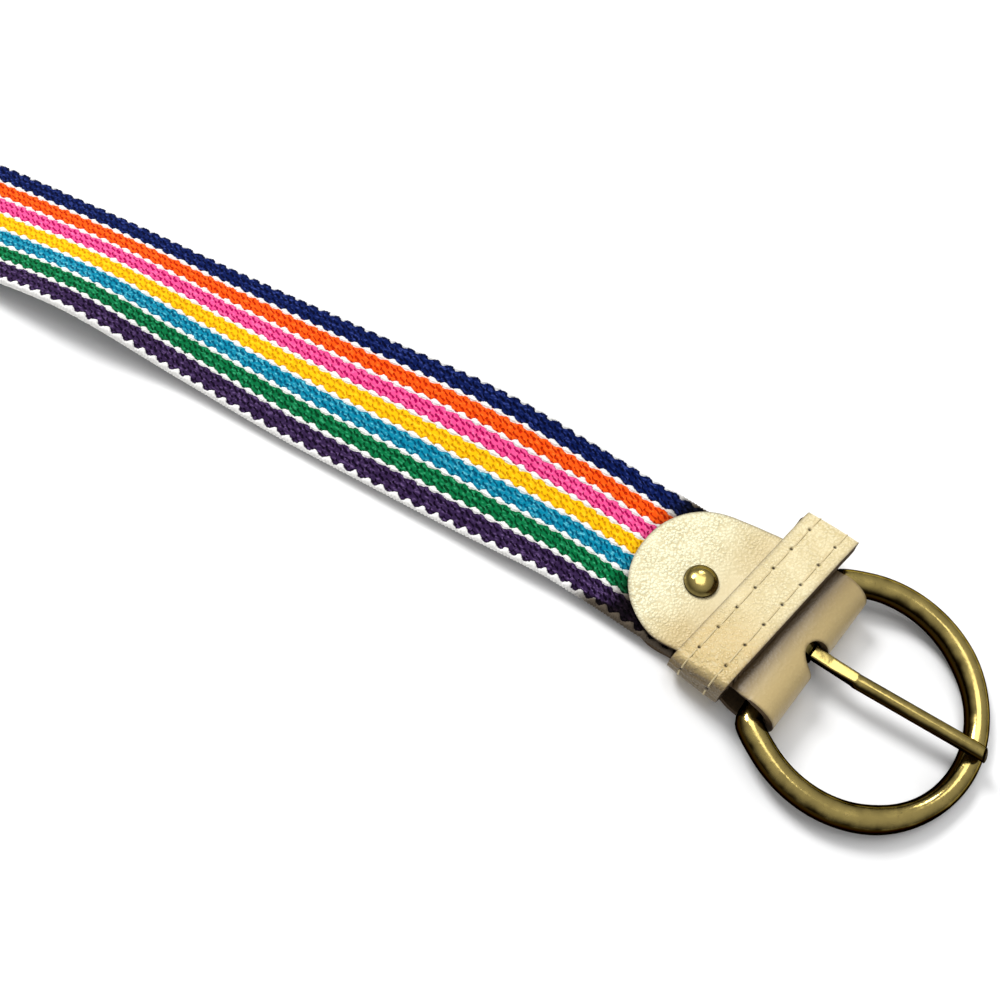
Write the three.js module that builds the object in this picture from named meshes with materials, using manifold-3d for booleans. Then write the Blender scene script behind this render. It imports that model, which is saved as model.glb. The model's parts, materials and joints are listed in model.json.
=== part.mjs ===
// Elastic belt with a leather buckle end, lying open on a table.
//
// Millimetres, +Z up. The strap runs along X with the buckle at +X, and everything rests on Z = 0.
// The buckle end is laid out in a frame of its own, whose origin is the point of the table under the
// middle of the buckle's bar: "along" runs from the strap to the buckle, "across" to the far side.

import * as THREE from "three";
import { mergeVertices } from "three/addons/utils/BufferGeometryUtils.js";
import Module from "manifold-3d";

const wasm = await Module();
wasm.setup();

// Driving sizes

const GAP = 0.3;
const LEATHER = 1.4;

const webbing = {
  width: 29.6,
  heldWidth: 28.4, // drawn in a little where the leather grips it
  thickness: 2,
  edgeRadius: 0.8,
  endAlong: -17.2,
  heldUntil: -38,
  fullWidthFrom: -75,
  waveStep: 6,
  waveUntil: -286,
  liftAtTipFrom: -540,
};

const tab = {
  halfWidth: 14.7,
  roundCentre: -17.1,
  roundLength: 15.1,
  roundness: 2.15, // a little squarer than an ellipse
  drift: 1.25, // how far it wanders to the far side where the keeper holds it
  driftFrom: -21.5,
  driftFull: -12.5,
  driftEnds: -9,
  driftNone: -1.5,
  yaw: -10,
  topSurface: 5.4, // over the back layer and the webbing
  loopInner: 3.8,
  joinAngle: 98, // where the top layer leaves the loop round the bar
  rampEnd: -16.5,
  slotStart: 1.3,
  slotHalfWidth: 2.7,
  slotShift: -0.4,
};

const loopOuter = tab.loopInner + LEATHER;
const barHeight = loopOuter;

const rivet = {
  along: -19.5,
  across: -0.6,
  capRadius: 3.15,
  capHeight: 1.5,
  postRadius: 1.25,
  backRadius: 2.5,
  backBottom: 0.1,
  backTop: 0.7,
};

const frame = {
  yaw: 3.9,
  shift: -0.3,
  barRadius: 2,
  barHalfLength: 15.3,
  centre: 13.5, // middle of the ring, from the bar
  depthRadius: 20.05,
  widthRadius: 20.5,
  earAngle: 114, // from the front of the ring round to where an ear starts
  earEnd: 15.1,
  sideWire: 2.4,
  frontWire: 2,
  earWire: 2.02,
};
const frontReach = frame.centre + frame.depthRadius;
frame.tilt = THREE.MathUtils.radToDeg(Math.asin((barHeight - frame.frontWire) / frontReach));

const prong = {
  yaw: 4.3,
  eyeInner: frame.barRadius + 0.4,
  eyeOuter: tab.loopInner - GAP - 0.05,
  width: 2.6,
  rootTop: 2.3, // height of the flat's upper face over the bar's axis
  flatThickness: 1.7,
  shoulder: 10.9,
  shaftRadius: 1.38,
  tipRadius: 1.2,
  tip: 34.4,
  tipSlant: 35,
};

const keeper = {
  along: -8.7,
  width: 10.2,
  wall: 1.4,
  skew: 4.1,
  farEndSkew: 7, // its far end stands square to its own length
  rise: 17, // slope of its top run, which follows the leather up to the fold
  riseFrom: 3.4,
  riseUntil: 9,
};

const tip = {
  rootX: -574,
  endX: -686,
  halfWidth: 14.7,
  ply: 1.2,
  overlap: 18,
  taper: 9,
  noseLength: 20,
  holeCount: 5,
  holeSpacing: 15,
  firstHole: -664,
  holeRadius: 1.9,
};

// Lie of the webbing: height and twist are those of its middle line, across is its sideways place.
// A positive twist lifts the far edge.
const webbingLie = [
  { x: -17.2, across: 2.7, height: 2.7, twist: 0 },
  { x: -26, across: 3.4, height: 2.7, twist: 0 },
  { x: -34, across: 4.1, height: 2.75, twist: 0 },
  { x: -46, across: 4.55, height: 3.8, twist: 1.6 },
  { x: -70, across: 4.45, height: 4.95, twist: 9.8 },
  { x: -100, across: 4.4, height: 3.6, twist: 5.4 },
  { x: -130, across: 4.95, height: 2.4, twist: -4.1 },
  { x: -160, across: 4.05, height: 4.75, twist: -12.6 },
  { x: -190, across: 2.7, height: 2.9, twist: -6.2 },
  { x: -220, across: 0.4, height: 1.55, twist: 0 },
  { x: -250, across: -2.4, height: 1.02, twist: 0 },
  { x: -286, across: -3.6, height: 1.02, twist: 0 },
  { x: -540, across: -3.6, height: 1.02, twist: 0 },
  { x: -568, across: -3.6, height: 2.5, twist: 0 },
  { x: -591, across: -3.6, height: 2.5, twist: 0 },
];

// Mid line of the keeper's loop, seen along the strap: across, height over the table.
const keeperLoop = [
  { across: -6, height: 2.4 },
  { across: 0, height: 2.4 },
  { across: 6, height: 2.4 },
  { across: 12.4, height: 2.4 },
  { across: 15.2, height: 2.5 },
  { across: 19.4, height: 3.7 },
  { across: 21.6, height: 6.6 },
  { across: 21, height: 9.2 },
  { across: 17, height: 9.9 },
  { across: 0, height: 9.5 },
  { across: -12.2, height: 9.4 },
  { across: -14.8, height: 9.2 },
  { across: -15.9, height: 7.4 },
  { across: -15.9, height: 5.6 },
  { across: -15.8, height: 3.9 },
  { across: -14.7, height: 2.55 },
  { across: -12.4, height: 2.4 },
];

// Materials

const finish = (color, roughness, metalness = 0) =>
  new THREE.MeshStandardMaterial({ color, roughness, metalness });

const stripedElastic = finish(0x2f8fb0, 0.85);
const creamLeather = finish(0xe6d8ae, 0.55);
const antiqueBrass = finish(0x9a8440, 0.3, 1);

// Helpers

const rad = THREE.MathUtils.degToRad;

function bare(geometry) {
  const copy = geometry.clone();
  copy.deleteAttribute("normal");
  copy.deleteAttribute("uv");
  return mergeVertices(copy, 1e-4);
}

function solidOf(geometry) {
  const merged = bare(geometry);
  const vertProperties = new Float32Array(merged.attributes.position.array);
  const triVerts = new Uint32Array(merged.index.array);
  return new wasm.Manifold(new wasm.Mesh({ numProp: 3, vertProperties, triVerts }));
}

function geometryOf(solid) {
  const mesh = solid.getMesh();
  const geometry = new THREE.BufferGeometry();
  geometry.setAttribute("position", new THREE.BufferAttribute(mesh.vertProperties, 3));
  geometry.setIndex(new THREE.BufferAttribute(mesh.triVerts, 1));
  geometry.computeVertexNormals();
  return geometry;
}

function named(name, geometry, material) {
  const mesh = new THREE.Mesh(geometry, material);
  mesh.name = name;
  return mesh;
}

// Turns a geometry so that its own x, y and z point along the three given axes.
function turned(geometry, x, y, z) {
  const basis = new THREE.Matrix4().makeBasis(
    new THREE.Vector3(...x), new THREE.Vector3(...y), new THREE.Vector3(...z));
  return geometry.applyMatrix4(basis);
}

// A side view (along, height) pushed through to the given width, centred on across = 0.
function sideExtrusion(shape, width) {
  const geometry = new THREE.ExtrudeGeometry(shape, { depth: width, bevelEnabled: false });
  geometry.translate(0, 0, -width / 2);
  return turned(geometry, [1, 0, 0], [0, 0, 1], [0, -1, 0]);
}

// A plan (along, across) raised from one height to another.
function planExtrusion(shape, bottom, top, curveSegments = 16) {
  const geometry = new THREE.ExtrudeGeometry(shape, { depth: top - bottom, bevelEnabled: false, curveSegments });
  return geometry.translate(0, 0, bottom);
}

function offsetPoints(points, distance, closed) {
  const count = points.length;
  return points.map((point, i) => {
    const before = points[closed ? (i + count - 1) % count : Math.max(i - 1, 0)];
    const after = points[closed ? (i + 1) % count : Math.min(i + 1, count - 1)];
    const direction = after.clone().sub(before).normalize();
    return new THREE.Vector2(point.x - direction.y * distance, point.y + direction.x * distance);
  });
}

// A rod of round section bent along a curve, whose radius is a function of the way along it.
function bentRod(curve, radiusAt, steps, sides) {
  const rod = new THREE.CylinderGeometry(1, 1, 1, sides, steps);
  const frames = curve.computeFrenetFrames(steps, false);
  const position = rod.attributes.position;
  for (let i = 0; i < position.count; i += 1) {
    const t = position.getY(i) + 0.5;
    const step = Math.round(t * steps);
    const radius = radiusAt(t);
    const point = curve.getPointAt(t)
      .addScaledVector(frames.normals[step], position.getX(i) * radius)
      .addScaledVector(frames.binormals[step], -position.getZ(i) * radius);
    position.setXYZ(i, point.x, point.y, point.z);
  }
  return rod;
}

// Webbing

// A smooth curve through one column of the table that never overshoots its rows.
function lieCurve(key) {
  const rows = webbingLie.map((row) => [row.x, row[key]]);
  const secants = rows.slice(1).map(([x, value], i) => (value - rows[i][1]) / (x - rows[i][0]));
  const slopes = rows.map((_, i) => {
    const [before, after] = [secants[Math.max(i - 1, 0)], secants[Math.min(i, secants.length - 1)]];
    return before * after > 0 ? (2 * before * after) / (before + after) : 0;
  });
  return (x) => {
    const found = rows.findIndex((row) => x >= row[0]);
    const i = found < 0 ? rows.length - 2 : THREE.MathUtils.clamp(found - 1, 0, rows.length - 2);
    const [[x0, value0], [x1, value1]] = [rows[i], rows[i + 1]];
    const run = x1 - x0;
    const u = THREE.MathUtils.clamp((x - x0) / run, 0, 1);
    return (2 * u ** 3 - 3 * u ** 2 + 1) * value0 + (u ** 3 - 2 * u ** 2 + u) * run * slopes[i]
      + (3 * u ** 2 - 2 * u ** 3) * value1 + (u ** 3 - u ** 2) * run * slopes[i + 1];
  };
}

const lie = { across: lieCurve("across"), height: lieCurve("height"), twist: lieCurve("twist") };

function webbingStations() {
  const stations = [];
  for (let x = webbing.endAlong; x > webbing.waveUntil; x -= webbing.waveStep) {
    stations.push(x);
  }
  stations.push(webbing.waveUntil, webbing.liftAtTipFrom);
  const last = webbingLie[webbingLie.length - 1].x;
  for (let x = webbing.liftAtTipFrom - 5; x > last + 2; x -= 5.5) {
    stations.push(x);
  }
  stations.push(last);
  return stations;
}

function webbingWidth(x) {
  const t = THREE.MathUtils.smoothstep(-x, -webbing.heldUntil, -webbing.fullWidthFrom);
  return THREE.MathUtils.lerp(webbing.heldWidth, webbing.width, t);
}

function roundedStrip(width, thickness, radius) {
  const [w, h] = [width / 2, thickness / 2];
  const shape = new THREE.Shape();
  shape.absarc(w - radius, h - radius, radius, 0, Math.PI / 2);
  shape.absarc(-w + radius, h - radius, radius, Math.PI / 2, Math.PI);
  shape.absarc(-w + radius, -h + radius, radius, Math.PI, 1.5 * Math.PI);
  shape.absarc(w - radius, -h + radius, radius, 1.5 * Math.PI, 2 * Math.PI);
  return shape;
}

function makeWebbing() {
  const stations = webbingStations();
  const steps = stations.length - 1;
  const section = roundedStrip(webbing.width, webbing.thickness, webbing.edgeRadius);
  const strip = new THREE.ExtrudeGeometry(section, { depth: 1, steps, bevelEnabled: false, curveSegments: 3 });
  const position = strip.attributes.position;
  for (let i = 0; i < position.count; i += 1) {
    const x = stations[Math.round(position.getZ(i) * steps)];
    const heading = Math.atan((lie.across(x + 1) - lie.across(x - 1)) / 2);
    const side = -position.getX(i) * webbingWidth(x) / webbing.width;
    const up = position.getY(i);
    const twist = rad(lie.twist(x));
    const out = side * Math.cos(twist) - up * Math.sin(twist);
    const rise = side * Math.sin(twist) + up * Math.cos(twist);
    position.setXYZ(i, x - out * Math.sin(heading), lie.across(x) + out * Math.cos(heading), lie.height(x) + rise);
  }
  const upright = new THREE.Vector3(0, 0, 1);
  const place = new THREE.Vector3(rivet.along, rivet.across, 0).applyAxisAngle(upright, rad(tab.yaw));
  const hole = new THREE.CylinderGeometry(rivet.postRadius + GAP, rivet.postRadius + GAP, 12, 16)
    .rotateX(Math.PI / 2).translate(place.x, place.y, 3);
  return named("webbing", geometryOf(solidOf(strip).subtract(solidOf(hole))), stripedElastic);
}

// Leather tab folded round the bar

function tabMidLine() {
  const middle = tab.loopInner + LEATHER / 2;
  const far = tab.roundCentre - tab.halfWidth - 2;
  const level = tab.topSurface - LEATHER / 2;
  const join = rad(tab.joinAngle);
  const start = new THREE.Vector2(middle * Math.cos(join), barHeight + middle * Math.sin(join));
  const leaving = new THREE.Vector2(-Math.sin(join), Math.cos(join));
  const ramp = new THREE.CubicBezierCurve(
    new THREE.Vector2(tab.rampEnd, level),
    new THREE.Vector2(tab.rampEnd + 6, level),
    start.clone().addScaledVector(leaving, 6),
    start);
  const loop = new THREE.EllipseCurve(0, barHeight, middle, middle, join, -Math.PI / 2, true);
  return [
    new THREE.Vector2(far, level),
    ...ramp.getPoints(12),
    ...loop.getPoints(26).slice(1),
    new THREE.Vector2(far, LEATHER / 2),
  ];
}

function tabDrift(x) {
  const towardKeeper = THREE.MathUtils.smoothstep(x, tab.driftFrom, tab.driftFull);
  return tab.drift * towardKeeper * (1 - THREE.MathUtils.smoothstep(x, tab.driftEnds, tab.driftNone));
}

// Outline from above: a slightly squared round end, then two sides that wander together up to the fold.
function tabOutline() {
  const { halfWidth, roundCentre, roundLength, roundness } = tab;
  const points = [];
  for (let x = loopOuter + 2; x > roundCentre; x -= 1.2) {
    points.push(new THREE.Vector2(x, halfWidth + tabDrift(x)));
  }
  const steps = 36;
  for (let i = 0; i <= steps; i += 1) {
    const angle = THREE.MathUtils.lerp(Math.PI / 2, 1.5 * Math.PI, i / steps);
    const [along, across] = [Math.cos(angle), Math.sin(angle)];
    const x = roundCentre - roundLength * Math.abs(along) ** (2 / roundness);
    const y = Math.sign(across) * halfWidth * Math.abs(across) ** (2 / roundness);
    points.push(new THREE.Vector2(x, y + tabDrift(x)));
  }
  for (let x = roundCentre + 0.6; x < loopOuter + 2; x += 1.2) {
    points.push(new THREE.Vector2(x, -halfWidth + tabDrift(x)));
  }
  points.push(new THREE.Vector2(loopOuter + 2, -halfWidth));
  return points;
}

function makeTab() {
  const line = tabMidLine();
  const ribbon = new THREE.Shape([
    ...offsetPoints(line, LEATHER / 2, false),
    ...offsetPoints(line, -LEATHER / 2, false).reverse(),
  ]);
  const plan = new THREE.Shape(tabOutline());

  const slotCentre = tab.slotStart + tab.slotHalfWidth;
  const slot = new THREE.Shape();
  slot.absarc(slotCentre, tab.slotShift, tab.slotHalfWidth, Math.PI / 2, 1.5 * Math.PI);
  slot.lineTo(loopOuter + 2, tab.slotShift - tab.slotHalfWidth);
  slot.lineTo(loopOuter + 2, tab.slotShift + tab.slotHalfWidth);

  const holeProfile = [
    new THREE.Vector2(0, -1),
    new THREE.Vector2(rivet.backRadius + GAP, -1),
    new THREE.Vector2(rivet.backRadius + GAP, rivet.backTop + GAP),
    new THREE.Vector2(rivet.postRadius + GAP, rivet.backTop + GAP),
    new THREE.Vector2(rivet.postRadius + GAP, 12),
    new THREE.Vector2(0, 12),
  ];
  const hole = new THREE.LatheGeometry(holeProfile, 24).rotateX(Math.PI / 2).translate(rivet.along, rivet.across, 0);

  const solid = solidOf(sideExtrusion(ribbon, 4 * tab.halfWidth))
    .intersect(solidOf(planExtrusion(plan, -1, 2 * loopOuter + 1)))
    .subtract(solidOf(planExtrusion(slot, -1, 2 * loopOuter + 1, 10)))
    .subtract(solidOf(hole));
  return named("buckle_tab", geometryOf(solid), creamLeather);
}

// Rivet through the tab and the webbing

function makeRivet() {
  const capBase = tab.topSurface + GAP;
  const dome = new THREE.QuadraticBezierCurve(
    new THREE.Vector2(rivet.capRadius, capBase + 0.45),
    new THREE.Vector2(rivet.capRadius * 0.82, capBase + rivet.capHeight),
    new THREE.Vector2(0, capBase + rivet.capHeight));
  const profile = [
    new THREE.Vector2(0, rivet.backBottom),
    new THREE.Vector2(rivet.backRadius, rivet.backBottom),
    new THREE.Vector2(rivet.backRadius, rivet.backTop),
    new THREE.Vector2(rivet.postRadius, rivet.backTop),
    new THREE.Vector2(rivet.postRadius, capBase),
    new THREE.Vector2(rivet.capRadius - 0.15, capBase),
    ...dome.getPoints(6),
  ];
  const mesh = named("rivet", new THREE.LatheGeometry(profile, 24).rotateX(Math.PI / 2), antiqueBrass);
  mesh.position.set(rivet.along, rivet.across, 0);
  return mesh;
}

// Keeper

function makeKeeper() {
  const points = keeperLoop.map((row) => new THREE.Vector3(row.across, row.height, 0));
  const curve = new THREE.CatmullRomCurve3(points, true, "centripetal");
  const line = curve.getSpacedPoints(80).slice(0, -1).map((point) => new THREE.Vector2(point.x, point.y));
  const band = new THREE.Shape(offsetPoints(line, -keeper.wall / 2, true));
  band.holes.push(new THREE.Path(offsetPoints(line, keeper.wall / 2, true)));
  const geometry = new THREE.ExtrudeGeometry(band, { depth: keeper.width, bevelEnabled: false });
  geometry.translate(0, 0, -keeper.width / 2);
  turned(geometry, [0, 1, 0], [0, 0, 1], [1, 0, 0]);
  const position = geometry.attributes.position;
  for (let i = 0; i < position.count; i += 1) {
    const [x, y, z] = [position.getX(i), position.getY(i), position.getZ(i)];
    const share = THREE.MathUtils.smoothstep(z, keeper.riseFrom, keeper.riseUntil);
    const atFarEnd = THREE.MathUtils.smoothstep(y, tab.halfWidth, tab.halfWidth + 4);
    position.setX(i, x + y * Math.tan(rad(keeper.skew)));
    position.setY(i, y - x * Math.tan(rad(keeper.farEndSkew)) * atFarEnd);
    position.setZ(i, z + x * Math.tan(rad(keeper.rise)) * share);
  }
  const mesh = named("keeper", geometry, creamLeather);
  mesh.position.x = keeper.along;
  return mesh;
}

// Buckle frame: a ring of round wire closed by the bar that the tab holds

function ringCurve() {
  const ear = rad(frame.earAngle);
  const front = [];
  const arcPoints = 28;
  for (let i = 0; i <= arcPoints; i += 1) {
    const angle = THREE.MathUtils.lerp(ear, -ear, i / arcPoints);
    front.push(new THREE.Vector3(
      frame.centre + frame.depthRadius * Math.cos(angle), frame.widthRadius * Math.sin(angle), 0));
  }
  const start = front[0];
  const slope = (frame.widthRadius * Math.cos(ear)) / (-frame.depthRadius * Math.sin(ear));
  const corner = new THREE.Vector3(0, start.y - start.x * slope, 0);
  const bend = new THREE.QuadraticBezierCurve3(new THREE.Vector3(0, frame.earEnd, 0), corner, start);
  const farEar = bend.getPoints(5).slice(0, -1);
  const nearEar = farEar.map((point) => new THREE.Vector3(point.x, -point.y, 0)).reverse();
  return new THREE.CatmullRomCurve3([...farEar, ...front, ...nearEar]);
}

function makeFrame() {
  const wireAt = (t) => {
    const toEnd = Math.min(t, 1 - t) * 2;
    const side = THREE.MathUtils.lerp(frame.earWire, frame.sideWire, THREE.MathUtils.smoothstep(toEnd, 0, 0.08));
    return THREE.MathUtils.lerp(side, frame.frontWire, THREE.MathUtils.smoothstep(toEnd, 0.45, 1));
  };
  const ring = bentRod(ringCurve(), wireAt, 60, 16);
  const bar = new THREE.CylinderGeometry(frame.barRadius, frame.barRadius, 2 * frame.barHalfLength, 16);
  return named("buckle_frame", geometryOf(solidOf(ring).add(solidOf(bar))), antiqueBrass);
}

// Prong: an eye round the bar, a flat neck and a round shaft that rests on the front of the ring

function makeProng() {
  const aim = rad(prong.yaw);
  const restHeight = frame.frontWire + GAP + prong.shaftRadius;
  const slope = (restHeight - (prong.rootTop - prong.flatThickness / 2)) / frontReach;
  const heightAt = (x) => restHeight + (x - frontReach) * slope;

  const eye = new THREE.Shape();
  eye.absarc(0, 0, prong.eyeOuter, 0, 2 * Math.PI);
  eye.holes.push(new THREE.Path().absarc(0, 0, prong.eyeInner, 0, 2 * Math.PI, true));
  const half = prong.flatThickness / 2;
  const neckStart = Math.sqrt(prong.eyeInner ** 2 - 1) + 0.5;
  const neck = new THREE.Shape([
    new THREE.Vector2(neckStart, heightAt(neckStart) - half),
    new THREE.Vector2(prong.shoulder + 1, heightAt(prong.shoulder + 1) - half),
    new THREE.Vector2(prong.shoulder + 1, heightAt(prong.shoulder + 1) + half),
    new THREE.Vector2(neckStart - 0.6, heightAt(neckStart - 0.6) + half),
  ]);

  const shaftLine = new THREE.CatmullRomCurve3([
    new THREE.Vector3(prong.shoulder, 0, heightAt(prong.shoulder)),
    new THREE.Vector3(22, 0, heightAt(22) + 0.15),
    new THREE.Vector3(frontReach - 2, 0, restHeight),
    new THREE.Vector3(prong.tip + 1, 0, restHeight - 0.35),
  ]);
  const shaftAt = (t) => THREE.MathUtils.lerp(
    prong.shaftRadius * THREE.MathUtils.lerp(0.86, 1, THREE.MathUtils.smoothstep(t, 0, 0.06)),
    prong.tipRadius, THREE.MathUtils.smoothstep(t, 0.85, 1));
  const shaft = bentRod(shaftLine, shaftAt, 14, 14);
  const cutter = new THREE.BoxGeometry(6, 10, 10).rotateY(rad(-prong.tipSlant))
    .translate(prong.tip + 3 / Math.cos(rad(prong.tipSlant)), 0, restHeight).rotateZ(aim);

  const solid = solidOf(sideExtrusion(eye, prong.width))
    .add(solidOf(sideExtrusion(neck, prong.width).rotateZ(aim)))
    .add(solidOf(shaft.rotateZ(aim)))
    .subtract(solidOf(cutter));
  return named("prong", geometryOf(solid), antiqueBrass);
}

// Leather tip at the other end of the strap

function makeTip() {
  const { rootX, endX, ply, overlap, taper } = tip;
  const pocket = webbing.thickness + 2 * GAP;
  const thick = 2 * ply + pocket;
  const side = new THREE.Shape([
    new THREE.Vector2(endX, 0),
    new THREE.Vector2(rootX, 0),
    new THREE.Vector2(rootX, ply),
    new THREE.Vector2(rootX - overlap, ply),
    new THREE.Vector2(rootX - overlap, ply + pocket),
    new THREE.Vector2(rootX, ply + pocket),
    new THREE.Vector2(rootX, thick),
    new THREE.Vector2(rootX - overlap, thick),
    new THREE.Vector2(rootX - overlap - taper, 2 * ply),
    new THREE.Vector2(endX, 2 * ply),
  ]);
  const middle = webbingLie[webbingLie.length - 1].across;
  const noseStart = endX + tip.noseLength;
  const plan = new THREE.Shape();
  plan.moveTo(rootX, middle - tip.halfWidth);
  plan.lineTo(rootX, middle + tip.halfWidth);
  plan.lineTo(noseStart, middle + tip.halfWidth);
  plan.absellipse(noseStart, middle, tip.noseLength, tip.halfWidth, Math.PI / 2, 1.5 * Math.PI);

  let solid = solidOf(sideExtrusion(side, 80)).intersect(solidOf(planExtrusion(plan, -1, thick + 1)));
  for (let i = 0; i < tip.holeCount; i += 1) {
    const hole = new THREE.CylinderGeometry(tip.holeRadius, tip.holeRadius, 12, 16)
      .rotateX(Math.PI / 2).translate(tip.firstHole + i * tip.holeSpacing, middle, 0);
    solid = solid.subtract(solidOf(hole));
  }
  return named("strap_tip", geometryOf(solid), creamLeather);
}

// Assembly

const frameGroup = new THREE.Group();
frameGroup.rotation.set(0, rad(frame.tilt), rad(frame.yaw), "ZYX");
frameGroup.position.set(0, frame.shift, barHeight);
frameGroup.add(makeFrame(), makeProng());

const buckleEnd = new THREE.Group();
buckleEnd.rotation.z = rad(tab.yaw);
buckleEnd.add(makeTab(), makeRivet(), makeKeeper(), frameGroup);

const belt = new THREE.Group();
belt.add(makeWebbing(), buckleEnd, makeTip());

// The origin is the middle of the footprint, on the table.
belt.updateMatrixWorld(true);
const box = new THREE.Box3().setFromObject(belt, true);
const middle = box.getCenter(new THREE.Vector3());
belt.position.set(-middle.x, -middle.y, 0);

export default belt;
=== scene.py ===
"""Elastic belt with a leather buckle end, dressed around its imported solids.

The strap is woven webbing with seven coloured stripes, the buckle end is grained cream leather with a
keeper and a rivet, and the buckle is antique brass. Sizes are in millimetres until a piece is placed.
"""

import json
import logging
import math
from dataclasses import dataclass
from enum import Enum
from functools import cached_property, partial
from typing import Callable, Sequence, Union

import bmesh
import bpy
import numpy as np
from mathutils import Matrix, Vector

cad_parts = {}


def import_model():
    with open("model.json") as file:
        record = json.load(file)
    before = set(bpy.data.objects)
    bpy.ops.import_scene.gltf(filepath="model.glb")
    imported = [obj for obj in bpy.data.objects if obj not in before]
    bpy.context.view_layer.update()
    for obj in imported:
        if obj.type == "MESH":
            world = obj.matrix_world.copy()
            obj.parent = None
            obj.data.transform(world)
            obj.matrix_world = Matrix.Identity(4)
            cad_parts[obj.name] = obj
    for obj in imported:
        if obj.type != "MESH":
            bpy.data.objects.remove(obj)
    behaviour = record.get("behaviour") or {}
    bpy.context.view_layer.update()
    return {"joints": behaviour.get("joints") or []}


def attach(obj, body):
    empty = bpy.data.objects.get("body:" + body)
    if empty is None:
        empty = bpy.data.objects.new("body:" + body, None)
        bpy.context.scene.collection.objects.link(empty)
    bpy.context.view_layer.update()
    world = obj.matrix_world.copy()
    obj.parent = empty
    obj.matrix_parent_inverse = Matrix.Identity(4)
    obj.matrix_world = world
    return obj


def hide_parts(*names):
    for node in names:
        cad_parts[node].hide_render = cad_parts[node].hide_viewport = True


log = logging.getLogger("belt")

MM = 0.001
Array = np.ndarray
Pair = tuple[float, float]
Triple = tuple[float, float, float]
Colour = Triple
Modifier = tuple[str, dict[str, object]]
Term = Union[float, Array, "Value"]


def linear(red: int, green: int, blue: int) -> Colour:
    """Returns a linear colour for one given as the eight-bit values seen on a screen."""
    screen = (part / 255 for part in (red, green, blue))
    return tuple(((part + 0.055) / 1.055) ** 2.4 if part > 0.04045 else part / 12.92 for part in screen)


def smoothstep(value: Array, low: float, high: float) -> Array:
    """Returns 0 below low, 1 above high and a smooth rise between."""
    t = np.clip((value - low) / (high - low), 0, 1)
    return t * t * (3 - 2 * t)


class Slot(Enum):
    """Material slots of the record."""

    ELASTIC = "striped_elastic"
    LEATHER = "cream_leather"
    BRASS = "antique_brass"


class Body(Enum):
    """Bodies that the pieces ride on."""

    STRAP = "strap"
    BUCKLE = "buckle"
    TONGUE = "tongue"


class Numbers:
    """Sums of plain arrays, under the names that a material has for the same sums of nodes."""

    least = staticmethod(np.minimum)
    most = staticmethod(np.maximum)
    whole = staticmethod(np.round)
    size = staticmethod(np.abs)
    power = staticmethod(np.power)

    @staticmethod
    def part(value: Array) -> Array:
        """Returns what is over a whole number."""
        return value % 1

    @staticmethod
    def wave(turns: Array) -> Array:
        """Returns a wave from 0 to 1 that peaks at whole turns."""
        return 0.5 + 0.5 * np.cos(2 * math.pi * turns)

    @staticmethod
    def curve(value: Array, points: Sequence[Pair], shift: float = 0.0) -> Array:
        """Returns values read from the line through points; arrays need no shift."""
        return np.interp(value, *np.array(points).T)


class Value:
    """Number, vector or colour that a material works out. Numbers take part in ordinary sums."""

    def __init__(self, shader: "Shader", socket: bpy.types.NodeSocket) -> None:
        """Wraps the output of a node."""
        self.shader, self.socket = shader, socket

    def __add__(self, other: Term) -> "Value":
        """Returns the sum."""
        return self.shader.math("ADD", self, other)

    def __sub__(self, other: Term) -> "Value":
        """Returns the difference."""
        return self.shader.math("SUBTRACT", self, other)

    def __rsub__(self, other: Term) -> "Value":
        """Returns what is left of a number."""
        return self.shader.math("SUBTRACT", other, self)

    def __mul__(self, other: Term) -> "Value":
        """Returns the product."""
        return self.shader.math("MULTIPLY", self, other)

    def __truediv__(self, other: Term) -> "Value":
        """Returns the quotient."""
        return self.shader.math("DIVIDE", self, other)


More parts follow.
